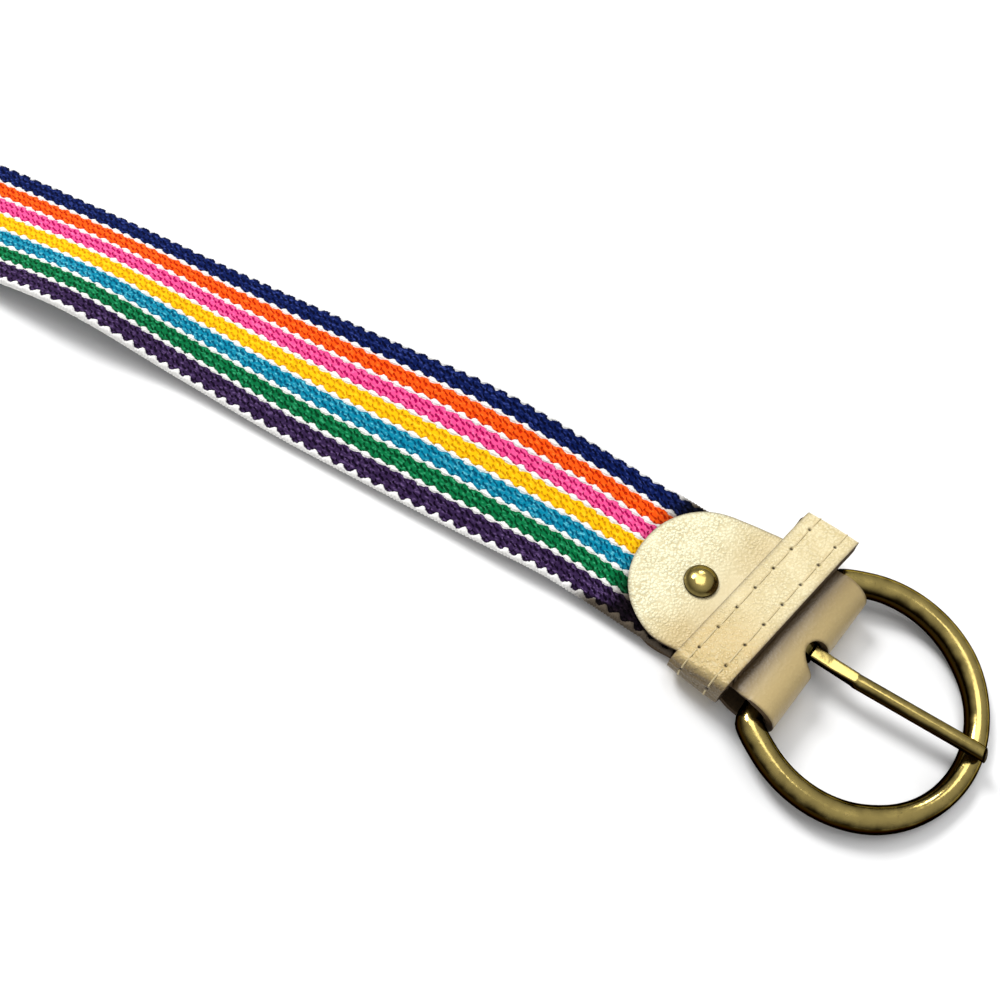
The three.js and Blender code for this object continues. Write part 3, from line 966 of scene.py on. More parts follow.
class Line:
    """Bent line in a plane, with the distance along it."""

    def __init__(self, places: Array, closed: bool = False) -> None:
        """Measures the line.

        Args:
            places: its corners, a row for each.
            closed: whether it ends where it starts.
        """
        self.places, self.closed = places, closed
        self.arc = np.r_[0, np.cumsum(np.linalg.norm(np.diff(places, axis=0), axis=1))]
        self.length = self.arc[-1]

    def read(self, along: Array, column: Array) -> Array:
        """Returns what a column of values has at distances along the line."""
        return np.interp(along, self.arc, column)

    def at(self, along: Array) -> tuple[Array, Array]:
        """Returns the two coordinates of places on the line."""
        return self.read(along, self.places[:, 0]), self.read(along, self.places[:, 1])

    def beside(self, along: Array, out: Array, step: float) -> tuple[Array, Array]:
        """Finds places beside the line.

        Args:
            along: distances along it.
            out: distances from it, to its left.
            step: how far to either side the line's direction is measured.

        Returns:
            The two coordinates of the places.
        """
        ends = (along + step, along - step)
        if self.closed:
            ends = tuple(end % self.length for end in ends)
        (x, y), (ahead_x, ahead_y), (back_x, back_y) = (self.at(place) for place in (along, *ends))
        dx, dy = ahead_x - back_x, ahead_y - back_y
        size = np.maximum(np.hypot(dx, dy), 1e-9)
        return x - dy / size * out, y + dx / size * out


def smooth_curve(knots: Sequence[float], values: Sequence[float]) -> Callable[[Array], Array]:
    """Makes a smooth curve that never overshoots its rows.

    Args:
        knots: places along, in falling order.
        values: value at each place.

    Returns:
        A function from places to values.
    """
    x, y = np.array(knots, float), np.array(values, float)
    secants = np.diff(y) / np.diff(x)
    before, after = np.r_[secants[0], secants], np.r_[secants, secants[-1]]
    product, total = before * after, before + after
    slopes = np.where(product > 0, 2 * product / np.where(total == 0, 1, total), 0)

    def curve(at: Array) -> Array:
        """Reads the curve.

        Args:
            at: places along.

        Returns:
            The values there.
        """
        i = np.clip(np.searchsorted(-x, -at, side="right") - 1, 0, len(x) - 2)
        run = x[i + 1] - x[i]
        u = np.clip((at - x[i]) / run, 0, 1)
        return ((2 * u**3 - 3 * u**2 + 1) * y[i] + (u**3 - 2 * u**2 + u) * run * slopes[i]
                + (3 * u**2 - 2 * u**3) * y[i + 1] + (u**3 - u**2) * run * slopes[i + 1])

    return curve


@dataclass
class Webbing(Part):
    """Woven strap lying in a low wave on the table."""

    weave: Weave = Weave()
    width: float = 29.6
    held_width: float = 28.4
    held_until: float = 38.0
    full_width_from: float = 75.0
    base: float = 0.66
    edge_radius: float = 0.85
    edge_faces: int = 8
    # Height of the white threads at their rim and how much more inside, and where they are full.
    white: Triple = (0.12, 0.26, 0.6)
    # Height of the coloured threads, and how much a crease takes off.
    coloured: Pair = (0.3, 0.18)
    # Groove along the white threads: its share of the height, and its width.
    groove: Pair = (0.5, 0.12)
    # Fine scallops of the edges: how far they stand out, and their number over a tooth.
    ripple: tuple[float, int] = (0.12, 4)
    # Where the painted shadow under the leather ends, and how much sooner it does at the near rim.
    shaded: Pair = (-34.5, -28.0)
    shade_lead: float = 6.0
    rim: Pair = (0.6, 2.0)
    # Along, across, height of the middle line, and twist in degrees.
    lie: tuple[tuple[float, float, float, float], ...] = (
        (-17.2, 2.7, 2.7, 0), (-26, 3.4, 2.7, 0), (-34, 4.1, 2.75, 0), (-46, 4.55, 3.8, 1.6),
        (-70, 4.45, 4.95, 9.8), (-100, 4.4, 3.6, 5.4), (-130, 4.95, 2.4, -4.1),
        (-160, 4.05, 4.75, -12.6), (-190, 2.7, 2.9, -6.2), (-220, 0.4, 1.55, 0),
        (-250, -2.4, 1.02, 0), (-286, -3.6, 1.02, 0), (-540, -3.6, 1.02, 0), (-568, -3.6, 2.5, 0),
        (-591, -3.6, 2.5, 0),
    )
    # Name of each stretch, where it starts and ends, length of its cells, and cells over its top face.
    spans: tuple[tuple[str, float, float, float, int], ...] = (
        ("webbing_buckle_end", -17.2, -111.2, 0.246, 124),
        ("webbing_middle", -111.2, -205.2, 0.246, 124),
        ("webbing_flat_run", -205.2, -398.0, 0.49, 84),
        ("webbing_far_end", -398.0, -591.0, 0.49, 84),
    )

    def section(self, cells: int) -> tuple[Array, Array, Array]:
        """Works out the closed outline across the strap.

        Args:
            cells: cells over the top face, an even number.

        Returns:
            Side, height and share round the edge for each point, starting under the middle.
        """
        half, radius = self.weave.width / 2, self.edge_radius
        flat = np.linspace(-(half - radius), half - radius, cells + 1)
        turn = np.linspace(-math.pi / 2, math.pi / 2, self.edge_faces + 1)[1:-1]
        lower = flat[::2]
        middle = len(lower) // 2
        far = np.c_[half - radius + radius * np.cos(turn), self.base * np.sin(turn)]
        bottom = np.c_[lower, np.full(len(lower), -self.base)]
        top = np.c_[flat[::-1], np.full(len(flat), self.base)]
        outline = np.r_[bottom[middle:], far, top, -far, bottom[: middle + 1]]
        edge = np.clip((np.abs(outline[:, 0]) - (half - radius)) / radius, 0, 1)
        return outline[:, 0], outline[:, 1], edge

    def relief(self, run: Array, lane: Array) -> Array:
        """Works out how high the threads stand.

        Args:
            run: place along the threads, in teeth.
            lane: place across the strap, from the near edge.

        Returns:
            Heights over the ground of the cloth.
        """
        leaf = self.weave.leaf(Numbers, run, lane)[0]
        low, rise, full = self.white
        white = low + rise * np.sqrt(np.clip(leaf / full, 0, 1))
        coloured = self.coloured[0] - self.coloured[1] * self.weave.depth(run, lane)
        groove = 1 - self.groove[0] * np.exp(-((leaf / self.groove[1]) ** 2))
        return np.where(leaf > 0, white, coloured) * groove

    def points(self, along: Array, side: Array, up: Array) -> Array:
        """Lays places of the flat strap along its wave.

        Args:
            along: place along the strap.
            side: place across it, from its middle.
            up: height over its middle plane.

        Returns:
            Places on the table.
        """
        knots, *columns = zip(*self.lie)
        across, height, twist = (smooth_curve(knots, column) for column in columns)
        heading = np.arctan((across(along + 1) - across(along - 1)) / 2)
        share = smoothstep(-along, self.held_until, self.full_width_from)
        side = side * (self.held_width + (self.width - self.held_width) * share) / self.weave.width
        angle = np.radians(twist(along))
        out = side * np.cos(angle) - up * np.sin(angle)
        rise = side * np.sin(angle) + up * np.cos(angle)
        x, y = along - out * np.sin(heading), across(along) + out * np.cos(heading)
        return np.c_[x, y, height(along) + rise]

    def stretch(self, name: str, start: float, end: float, cell: float, cells: int) -> Piece:
        """Weaves one stretch of the strap.

        Args:
            name: name of the piece.
            start: where it starts along the strap.
            end: where it ends, further from the buckle.
            cell: length of a cell along the strap.
            cells: cells over its top face.

        Returns:
            The piece, on the table.
        """
        side, up, edge = self.section(cells)
        rows = len(side) - 1
        piece = Piece(name).grid(round((start - end) / cell), rows)
        flat = piece.places
        along = start - flat[:, 0] * (start - end)
        index = np.round(flat[:, 1] * rows).astype(int)
        side, up, edge = side[index], up[index], edge[index]
        lane, run = side + self.weave.width / 2, self.weave.run(along)
        relief = self.relief(run, lane) * np.sign(up)
        level = up + relief * np.where(edge > 0, np.abs(up) / self.base, 1)
        reach, number = self.ripple
        ripple = edge * reach * np.cos(2 * number * math.pi * run) * np.sign(side)
        # Painted shadow under the leather end, which starts sooner at the near rim.
        leather_shadow = smoothstep(along + self.shade_lead * (1 - smoothstep(lane, *self.rim)), *self.shaded)
        piece.tagged(weave=np.c_[run, lane, leather_shadow])
        piece.mapped(lambda _: self.points(along, side + ripple, level))
        return piece.welded().capped().welded()

    def build(self) -> list[bpy.types.Object]:
        """Builds the strap in stretches.

        Returns:
            The stretches.
        """
        elastic = self.finishes.elastic
        pieces = (self.stretch(*span).placed(self.layout.table) for span in self.spans)
        return [piece.made(elastic, Body.STRAP, Slot.ELASTIC, "webbing") for piece in pieces]


class LeatherPattern:
    """Flat leather cut to an outline and laid over a shape."""

    def __init__(self, name: str, low: Pair, high: Pair, cell: float,
                 inside: Callable[[Array], Array]) -> None:
        """Cuts the leather.

        Args:
            name: name of the piece.
            low: lowest corner of the flat pattern.
            high: its highest corner.
            cell: size of a cell.
            inside: gives how far each place lies inside the outline.
        """
        self.inside = inside
        size = np.array(high, float) - np.array(low, float)
        self.piece = Piece(name).grid(*(round(side / cell) for side in size))
        self.piece.mapped(lambda p: np.c_[p[:, :2] * size + low, p[:, 2]])
        bm = self.piece.bm
        centres = np.array([face.calc_center_median() for face in bm.faces], float)
        outside = [face for face, depth in zip(bm.faces, inside(centres)) if depth < 0]
        bmesh.ops.delete(bm, geom=outside, context="FACES")
        rim = [vertex for vertex in bm.verts if vertex.is_boundary]
        for _ in range(3):
            self._snap(rim)
            bmesh.ops.smooth_vert(bm, verts=rim, factor=0.3, use_axis_x=True, use_axis_y=True)
        self._snap(rim)

    def _snap(self, rim: Sequence[bmesh.types.BMVert]) -> None:
        """Moves the vertices of the rim onto the outline.

        Args:
            rim: the vertices.
        """
        step, flattest = 1e-3, 0.2
        places = np.array([vertex.co for vertex in rim], float)
        for _ in range(3):
            depth = self.inside(places)
            steps = ((step, 0, 0), (0, step, 0))
            slope = np.stack([(self.inside(places + move) - depth) / step for move in steps], axis=1)
            length = np.maximum((slope**2).sum(1), flattest)
            places[:, :2] -= slope * (depth / length)[:, None]
        for vertex, place in zip(rim, places):
            vertex.co = place


@dataclass
class LeatherTab(Part):
    """Leather folded round the buckle's bar."""

    round_centre: float = -17.1
    round_length: float = 15.1
    roundness: float = 2.15
    # Its sides lean to the far side by this much, between these places along it.
    drift: float = 1.25
    drift_rise: Pair = (-21.5, -12.5)
    drift_fall: Pair = (-9.0, -1.5)
    leather: float = 1.4
    rounding: float = 0.3
    top: float = 5.4
    loop_inner: float = 3.8
    loop_faces: int = 159
    join: float = 98.0
    ramp_end: float = -16.5
    ramp_pull: float = 6.0
    ramp_points: int = 60
    slot_round: float = 4.0
    slot_half: float = 2.7
    slot_shift: float = -0.4
    rivet_hole: float = 1.5
    cell: float = 0.32
    margin: float = 0.2
    # Dent round the rivet: its depth, and the square of its reach.
    dent: Pair = (0.16, 14.0)
    # Low swell: its height, and how fast it turns across and along.
    swell: Triple = (0.05, 0.55, 0.31)
    # Rolled-down rim: its drop and its reach.
    rim: Pair = (0.22, 0.7)
    # Worn patch: its middle and its reach, and where the fold is worn.
    worn_middle: Pair = (-14.5, -1.0)
    worn_reach: Pair = (6.0, 11.0)
    worn_fold: Pair = (-6.0, -3.0)
    worn_share: float = 0.8
    # Darker tone, partly the leather's own and partly painted shade along the tab and at the fold, and
    # painted shade only towards the near side: its share, and from where to where it rises along the tab, or
    # across it.
    tone_and_shade_along: Triple = (0.7, -27.0, -14.0)
    tone_and_shade_fold: Triple = (0.35, -6.0, -2.0)
    tab_near_shade: Triple = (0.3, -27.0, -17.0)
    near_side: Pair = (0.0, 12.0)
    # Painted shadow of the keeper on the tab beside it: where it starts, its reach and fall-off, and its
    # share.
    keeper_shadow_start: float = -2.7
    keeper_shadow_from: float = -8.0
    keeper_shadow_reach: float = 3.1
    keeper_shadow_power: float = 1.8
    keeper_shadow_share: float = 0.95
    keeper_shadow_past_fold: float = 6.0
    # Darker rim: its share and its reach.
    burnished: Pair = (0.7, 0.3)

    def mid_line(self) -> Line:
        """Works out the side view of the leather's middle.

        Returns:
            The line from the top's round end to the bottom's, whose ramp follows its first point.
        """
        radius = self.loop_inner + self.leather / 2
        height = self.loop_inner + self.leather
        level = self.top - self.leather / 2
        far = self.round_centre - self.round_length
        join = math.radians(self.join)
        start = np.array([radius * math.cos(join), height + radius * math.sin(join)])
        leaving = np.array([-math.sin(join), math.cos(join)])
        hold = np.array([self.ramp_end, level])
        controls = (hold, hold + (self.ramp_pull, 0), start + self.ramp_pull * leaving, start)
        t = np.linspace(0, 1, self.ramp_points)[:, None]
        ramp = sum(math.comb(3, k) * (1 - t) ** (3 - k) * t**k * c for k, c in enumerate(controls))
        angle = np.linspace(join, -math.pi / 2, self.loop_faces + 1)[1:, None]
        loop = np.c_[radius * np.cos(angle), height + radius * np.sin(angle)]
        return Line(np.r_[[[far, level]], ramp, loop, [[far, self.leather / 2]]])

    def inside(self, x: Array, y: Array) -> Array:
        """Works out how far places seen from above lie inside the leather.

        Args:
            x: place along the tab.
            y: place across it.

        Returns:
            Distances, which are negative outside.
        """
        drift = self.drift * smoothstep(x, *self.drift_rise) * (1 - smoothstep(x, *self.drift_fall))
        beyond = np.maximum(self.round_centre - x, 0) / self.round_length
        aside = np.abs(y - drift) / self.layout.tab_half_width
        reach = (beyond**self.roundness + aside**self.roundness) ** (1 / self.roundness)
        slot = np.hypot(np.minimum(x - self.slot_round, 0), y - self.slot_shift) - self.slot_half
        hole = np.hypot(x - self.layout.rivet[0], y - self.layout.rivet[1]) - self.rivet_hole
        return np.minimum.reduce([self.layout.tab_half_width * (1 - reach), slot, hole])

    def wear(self, x: Array, y: Array, depth: Array, upper: Array) -> dict[str, Array]:
        """Works out what the finish and its painted shade show at each place.

        Args:
            x: place along the tab.
            y: place across it.
            depth: how far it lies inside the outline.
            upper: whether it lies on the upper side.

        Returns:
            Numbers for painted shade in stitch holes, grain, tone with painted shade, and darker rims with
            painted shade.
        """
        aside = [(v - middle) / reach for v, middle, reach in zip((x, y), self.worn_middle, self.worn_reach)]
        worn = np.maximum(np.exp(-(aside[0] ** 2 + aside[1] ** 2)), smoothstep(x, *self.worn_fold))
        along, fold, near = (
            share * smoothstep(x, *span) for share, *span in (self.tone_and_shade_along, self.tone_and_shade_fold, self.tab_near_shade)
        )
        # Painted shadow of the keeper, falling on the tab beside its edge.
        edge = self.keeper_shadow_start + y * math.tan(math.radians(self.layout.keeper_skew))
        beside = np.exp(-((np.maximum(x - edge, 0) / self.keeper_shadow_reach) ** self.keeper_shadow_power))
        beside = self.keeper_shadow_share * beside * (x > self.keeper_shadow_from) * upper
        share, reach = self.burnished
        return {
            "pit": np.zeros(len(x)),
            "grain": 1 - self.worn_share * worn,
            "tone": along + fold + near * smoothstep(-y, *self.near_side),
            "burnish": np.maximum(share * np.exp(-np.maximum(depth, 0) / reach), beside),
        }

    def build(self) -> bpy.types.Object:
        """Builds the tab.

        Returns:
            The object.
        """
        line = self.mid_line()
        loop_start = line.arc[self.ramp_points]
        reach = self.layout.tab_half_width + self.drift + self.margin

        def inside(p: Array) -> Array:
            """Returns how far places of the pattern lie inside the leather."""
            return self.inside(line.at(p[:, 0])[0], p[:, 1])

        def rolled(p: Array) -> Array:
            """Lays the pattern round the bar.

            Args:
                p: places of the flat pattern.

            Returns:
                Places in the frame of the leather end.
            """
            at, y = np.clip(p[:, 0], 0, line.length), p[:, 1]
            away = (line.at(at)[0] - self.layout.rivet[0]) ** 2 + (y - self.layout.rivet[1]) ** 2
            swell, across, along = self.swell
            soft = swell * np.sin(y * across + at * along) - self.dent[0] * np.exp(-(away / self.dent[1]))
            soft -= self.rim[0] * np.exp(-np.maximum(inside(p), 0) / self.rim[1])
            x, z = line.beside(at, self.leather / 2 + soft * (at < loop_start), step=0.05)
            return np.c_[x, y, z]

        low, high = (0, -reach), (line.length, reach)
        piece = LeatherPattern("buckle_tab_leather", low, high, self.cell, inside).piece
        flat = piece.places
        upper = flat[:, 0] < loop_start + self.keeper_shadow_past_fold
        piece.tagged(**self.wear(line.at(flat[:, 0])[0], flat[:, 1], inside(flat), upper))
        piece.mapped(rolled).placed(self.layout.tab).outward()
        walls = leather_walls(self.leather, self.rounding)
        return piece.made(self.finishes.leather, Body.STRAP, Slot.LEATHER, "buckle_tab", walls)


@dataclass
class Keeper(Part):
    """Closed leather loop round the tab, sewn with two rows of stitches."""

    along: float = -8.7
    width: float = 10.2
    wall: float = 1.4
    rounding: float = 0.42
    far_end_skew: float = 7.0
    far_end: float = 4.0
    # How far the low front edge is set back beside the ring's far ear, and where.
    ear_room: float = 0.5
    ear_across: Pair = (13.0, 15.2)
    ear_height: Pair = (4.8, 7.5)
    rise: float = 17.0
    rise_range: Pair = (3.4, 9.0)
    cell: Pair = (0.25, 0.2)
    # Rows of holes: how far they lie from the middle, the place of one hole of each across the tab, the
    # distance between holes and their numbers.
    row: float = 2.7
    first_holes: Pair = (18.1, 17.7)
    stitch: float = 5.05
    hole_numbers: range = range(-2, 9)
    # Depth and reach of a hole.
    hole: Pair = (0.45, 0.3)
    # Heights over which the wall is sewn, is the near bend, and is the top.
    sewn_above: float = 3.2
    bend_above: float = 5.0
    top_above: float = 8.0
    # Crease along each row of holes: its depth, its width and the share of the front one.
    crease: Triple = (0.04, 0.2, 0.35)
    # Painted shade in the creases.
    crease_burnish: float = 0.1
    # Swell of the band between its edges: its height and how far it goes down at them.
    cushion: Pair = (0.1, 1.1)
    # Wrinkles of the near bend: their depth, and where they are and how far they reach.
    wrinkles: Triple = (0.16, -14.2, 2.4)
    # Darker rim, and painted shade on the near side: their shares, and their reach or range.
    burnished: Pair = (0.7, 0.3)
    keeper_near_shade: Triple = (0.8, 14.6, 15.7)
    # Tone of the band, with painted shade that deepens it towards the near side over the given range across
    # the tab.
    tone: Pair = (0.62, 0.45)
    keeper_near_shade_range: Pair = (-2.0, 14.0)
    thread: float = 0.17
    # Stitches: how far they start inside the holes, lean, arch and dive, and how low they lie.
    inset: float = 0.1
    lean: float = 0.14
    arch: float = 0.1
    dive: float = 0.5
    sunk: float = 0.05
    # Middle of the wall, seen along the strap: across and height; and the steps between two places.
    knot_steps: int = 24
    loop: tuple[Pair, ...] = (
        (-6, 2.4), (0, 2.4), (6, 2.4), (12.4, 2.4), (15.2, 2.5), (19.4, 3.7), (21.6, 6.6), (21, 9.2),
        (17, 9.9), (0, 9.5), (-12.2, 9.4), (-14.8, 9.2), (-15.9, 7.4), (-15.9, 5.6), (-15.8, 3.9),
        (-14.7, 2.55), (-12.4, 2.4),
    )

    @cached_property
    def line(self) -> Line:
        """Works out the middle of the wall as a smooth closed line.

        Returns:
            The line through the places of the loop.
        """
        knots = np.array(self.loop, float)
        fine = []
        for i in range(len(knots)):
            p = [knots[(i + k) % len(knots)] for k in (-1, 0, 1, 2)]
            t = np.cumsum([0] + [np.linalg.norm(p[k + 1] - p[k]) ** 0.5 for k in range(3)])
            for at in np.linspace(t[1], t[2], self.knot_steps, endpoint=False):
                a = [((t[k + 1] - at) * p[k] + (at - t[k]) * p[k + 1]) / (t[k + 1] - t[k]) for k in range(3)]
                b = [((t[k + 2] - at) * a[k] + (at - t[k]) * a[k + 1]) / (t[k + 2] - t[k]) for k in range(2)]
                fine.append(((t[2] - at) * b[0] + (at - t[1]) * b[1]) / (t[2] - t[1]))
        return Line(np.array(fine + fine[:1]), closed=True)

    @cached_property
    def normals(self) -> Array:
        """Works out which way is outward.

        Returns:
            The direction at each corner of the line.
        """
        places = self.line.places[:-1]
        ahead = np.roll(places, -1, axis=0) - np.roll(places, 1, axis=0)
        ahead /= np.linalg.norm(ahead, axis=1)[:, None]
        normals = np.c_[ahead[:, 1], -ahead[:, 0]]
        return np.r_[normals, normals[:1]]

    def laid(self, at: Array, side: Array, off: Array) -> Array:
        """Lays places of the flat band round the loop, and leans it the way it lies on the tab.

        Args:
            at: place round the loop.
            side: place across the band, from its middle.
            off: height over the middle of the wall.

        Returns:
            Places in the frame of the leather end.
        """
        y, z = (place + off * self.line.read(at, out) for place, out in zip(self.line.at(at), self.normals.T))
        angles = (self.layout.keeper_skew, self.far_end_skew, self.rise)
        skew, far_skew, rise = (math.tan(math.radians(angle)) for angle in angles)
        at_far = smoothstep(y, self.layout.tab_half_width, self.layout.tab_half_width + self.far_end)
        beside_ear = smoothstep(y, *self.ear_across) * (1 - smoothstep(z, *self.ear_height))
        x = side + y * skew + self.along - self.ear_room * beside_ear
        return np.c_[x, y - side * far_skew * at_far, z + side * rise * smoothstep(z, *self.rise_range)]

    def holes(self) -> list[Pair]:
        """Works out where the stitch holes are.

        Returns:
            Places round the loop and across the band.
        """
        top = self.line.places[:, 1] > self.top_above
        arc, across = self.line.arc[top], self.line.places[top, 0]
        found = []
        for side, first in zip((-self.row, self.row), self.first_holes):
            start = float(arc[np.abs(across - first).argmin()])
            found += [(start + self.stitch * number, side) for number in self.hole_numbers]
        return found

    def build(self) -> list[bpy.types.Object]:
        """Builds the keeper and its stitches.

        Returns:
            The band and the stitches.
        """
        length = self.line.length
        piece = Piece("keeper_band").grid(round(length / self.cell[0]), round(self.width / self.cell[1]))
        flat = piece.places
        at, side = flat[:, 0] * length, (flat[:, 1] - 0.5) * self.width
        y, z = self.line.at(at)
        sewn = z > self.sewn_above
        pits = np.zeros(len(at))
        for place, across in self.holes():
            away = (at - place) ** 2 + (side - across) ** 2
            pits = np.maximum(pits, np.exp(-(away / self.hole[1] ** 2)))
        deep, wide, front = self.crease
        crease = np.exp(-(((np.abs(side) - self.row) / wide) ** 2)) * np.where(side < 0, 1.0, front)
        cushion = self.cushion[0] * np.cos(side / self.width * math.pi * self.cushion[1])
        off = self.wall / 2 + (cushion - deep * crease - self.hole[0] * pits) * sewn
        off += self.wrinkled(at, side, y) * (z > self.bend_above)
        share, reach = self.burnished
        rim = share * np.exp(-(self.width / 2 - np.abs(side)) / reach)
        # Painted shade on the near side of the band, and in the creases.
        keeper_near_shade = self.keeper_near_shade[0] * smoothstep(-y, *self.keeper_near_shade[1:])
        burnish = np.maximum.reduce([rim, self.crease_burnish * crease * sewn, keeper_near_shade])
        tone = self.tone[0] + self.tone[1] * smoothstep(-y, *self.keeper_near_shade_range)
        piece.tagged(pit=pits * sewn, grain=np.ones(len(at)), tone=tone, burnish=burnish)
        piece.mapped(lambda _: self.laid(at, side, off)).placed(self.layout.tab).welded(1e-6)
        walls = leather_walls(self.wall, self.rounding)
        band = piece.made(self.finishes.leather, Body.STRAP, Slot.LEATHER, "keeper", walls)
        return [band, self.stitches()]

    def wrinkled(self, at: Array, side: Array, y: Array) -> Array:
        """Works out the wrinkles of the near bend.

        Args:
            at: place round the loop.
            side: place across the band.
            y: place across the tab.

        Returns:
            Heights.
        """
        depth, middle, reach = self.wrinkles
        waves = at * 5.2 + 1.3 * np.sin(side * 0.9) + 0.8 * np.sin(side * 2.3 + 1)
        return depth * np.exp(-(((y - middle) / reach) ** 2)) * np.sin(waves) ** 3

    def stitches(self) -> bpy.types.Object:
        """Builds the stitches between the holes.

        Returns:
            All stitches as one object.
        """
        holes = self.holes()
        spans = [(start, end, side) for (start, side), (end, other) in zip(holes, holes[1:]) if side == other]
        piece = Piece("keeper_stitches")
        size = {"segments": 6, "radius1": 1, "radius2": 1, "depth": 1}
        for _ in spans:
            made = bmesh.ops.create_cone(piece.bm, cap_ends=True, **size)
            edges = {edge for vertex in made["verts"] for edge in vertex.link_edges}
            upright = [edge for edge in edges if abs(edge.verts[0].co.z - edge.verts[1].co.z) > 0.5]
            bmesh.ops.subdivide_edges(piece.bm, edges=upright, cuts=9, use_grid_fill=True)
        local = piece.places
        start, end, side = np.repeat(spans, len(local) // len(spans), axis=0).T
        t = local[:, 2] + 0.5
        at = start + self.inset + (end - start - 2 * self.inset) * t
        lift = self.arch - self.dive * np.abs(2 * t - 1) ** 6
        off = self.wall / 2 - self.sunk + lift + local[:, 1] * self.thread
        side = side + self.lean * (t - 0.5) + local[:, 0] * self.thread
        piece.mapped(lambda _: self.laid(at, side, off)).placed(self.layout.tab).outward()
        return piece.made(self.finishes.thread, Body.STRAP, Slot.LEATHER)


@dataclass
class BuckleFrame(Part):
    """Ring of round wire closed by a straight bar."""

    centre: float = 13.5
    depth_radius: float = 20.05
    width_radius: float = 20.5
    ear_angle: float = 114.0
    ear_end: float = 15.1
    # Where the wire grows from the bar's to the side's, past the ear's end.
    ear_growth: Pair = (-0.6, 2.2)
    side_wire: float = 2.4
    bar_wire: float = 2.0
    # Where the wire thins towards the front, as a share of the way there.
    front_share: float = 0.7
    arc_points: int = 400
    bend_points: int = 60
    sides: int = 40
    steps: int = 260

    def path(self) -> tuple[Line, Array]:
        """Works out the ring's outline.

        Returns:
            The closed path along the middle of the wire, and the wire's radius at its corners.
        """
        ear = math.radians(self.ear_angle)
        angle = np.linspace(ear, -ear, self.arc_points)
        arc = np.c_[self.centre + self.depth_radius * np.cos(angle), self.width_radius * np.sin(angle)]
        slope = (self.width_radius * math.cos(ear)) / (-self.depth_radius * math.sin(ear))
        corner = np.array([0, arc[0, 1] - arc[0, 0] * slope])
        t = np.linspace(0, 1, self.bend_points)[:-1, None]
        bend = (1 - t) ** 2 * np.array([0, self.ear_end]) + 2 * t * (1 - t) * corner + t**2 * arc[0]
        y = np.linspace(-self.ear_end, self.ear_end, self.bend_points + 1)[1:-1]
        line = np.r_[bend, arc, (bend * (1, -1))[::-1], np.c_[0 * y, y]]
        before, after = np.zeros(len(bend)), np.zeros(len(line) - len(bend) - len(arc))
        share = np.r_[before, np.sin(np.linspace(0, math.pi, len(arc))), after]
        growth = (self.ear_end + past for past in self.ear_growth)
        outside = smoothstep(np.abs(line[:, 1]) + 2 * line[:, 0], *growth)
        wire = self.bar_wire + (self.side_wire - self.bar_wire) * outside
        wire += (self.layout.front_wire - self.side_wire) * smoothstep(share, self.front_share, 1.0)
        return Line(np.r_[line, line[:1]], closed=True), np.r_[wire, wire[:1]]

    def build(self) -> bpy.types.Object:
        """Builds the ring and its bar in one sweep.

        Returns:
            The object.
        """
        line, wire = self.path()

        def swept(p: Array) -> Array:
            """Wraps the grid round the path.

            Args:
                p: places of the grid, along and round.

            Returns:
                Places in the ring's frame.
            """
            at, turn = p[:, 0] * line.length, p[:, 1] * 2 * math.pi
            radius = line.read(at, wire)
            return np.c_[(*line.beside(at, radius * np.cos(turn), step=0.25), radius * np.sin(turn))]

        piece = Piece("buckle_ring").grid(self.steps, self.sides).mapped(swept)
        piece.placed(self.layout.ring).welded(1e-6)
        return piece.made(self.finishes.brass, Body.BUCKLE, Slot.BRASS, "buckle_frame")


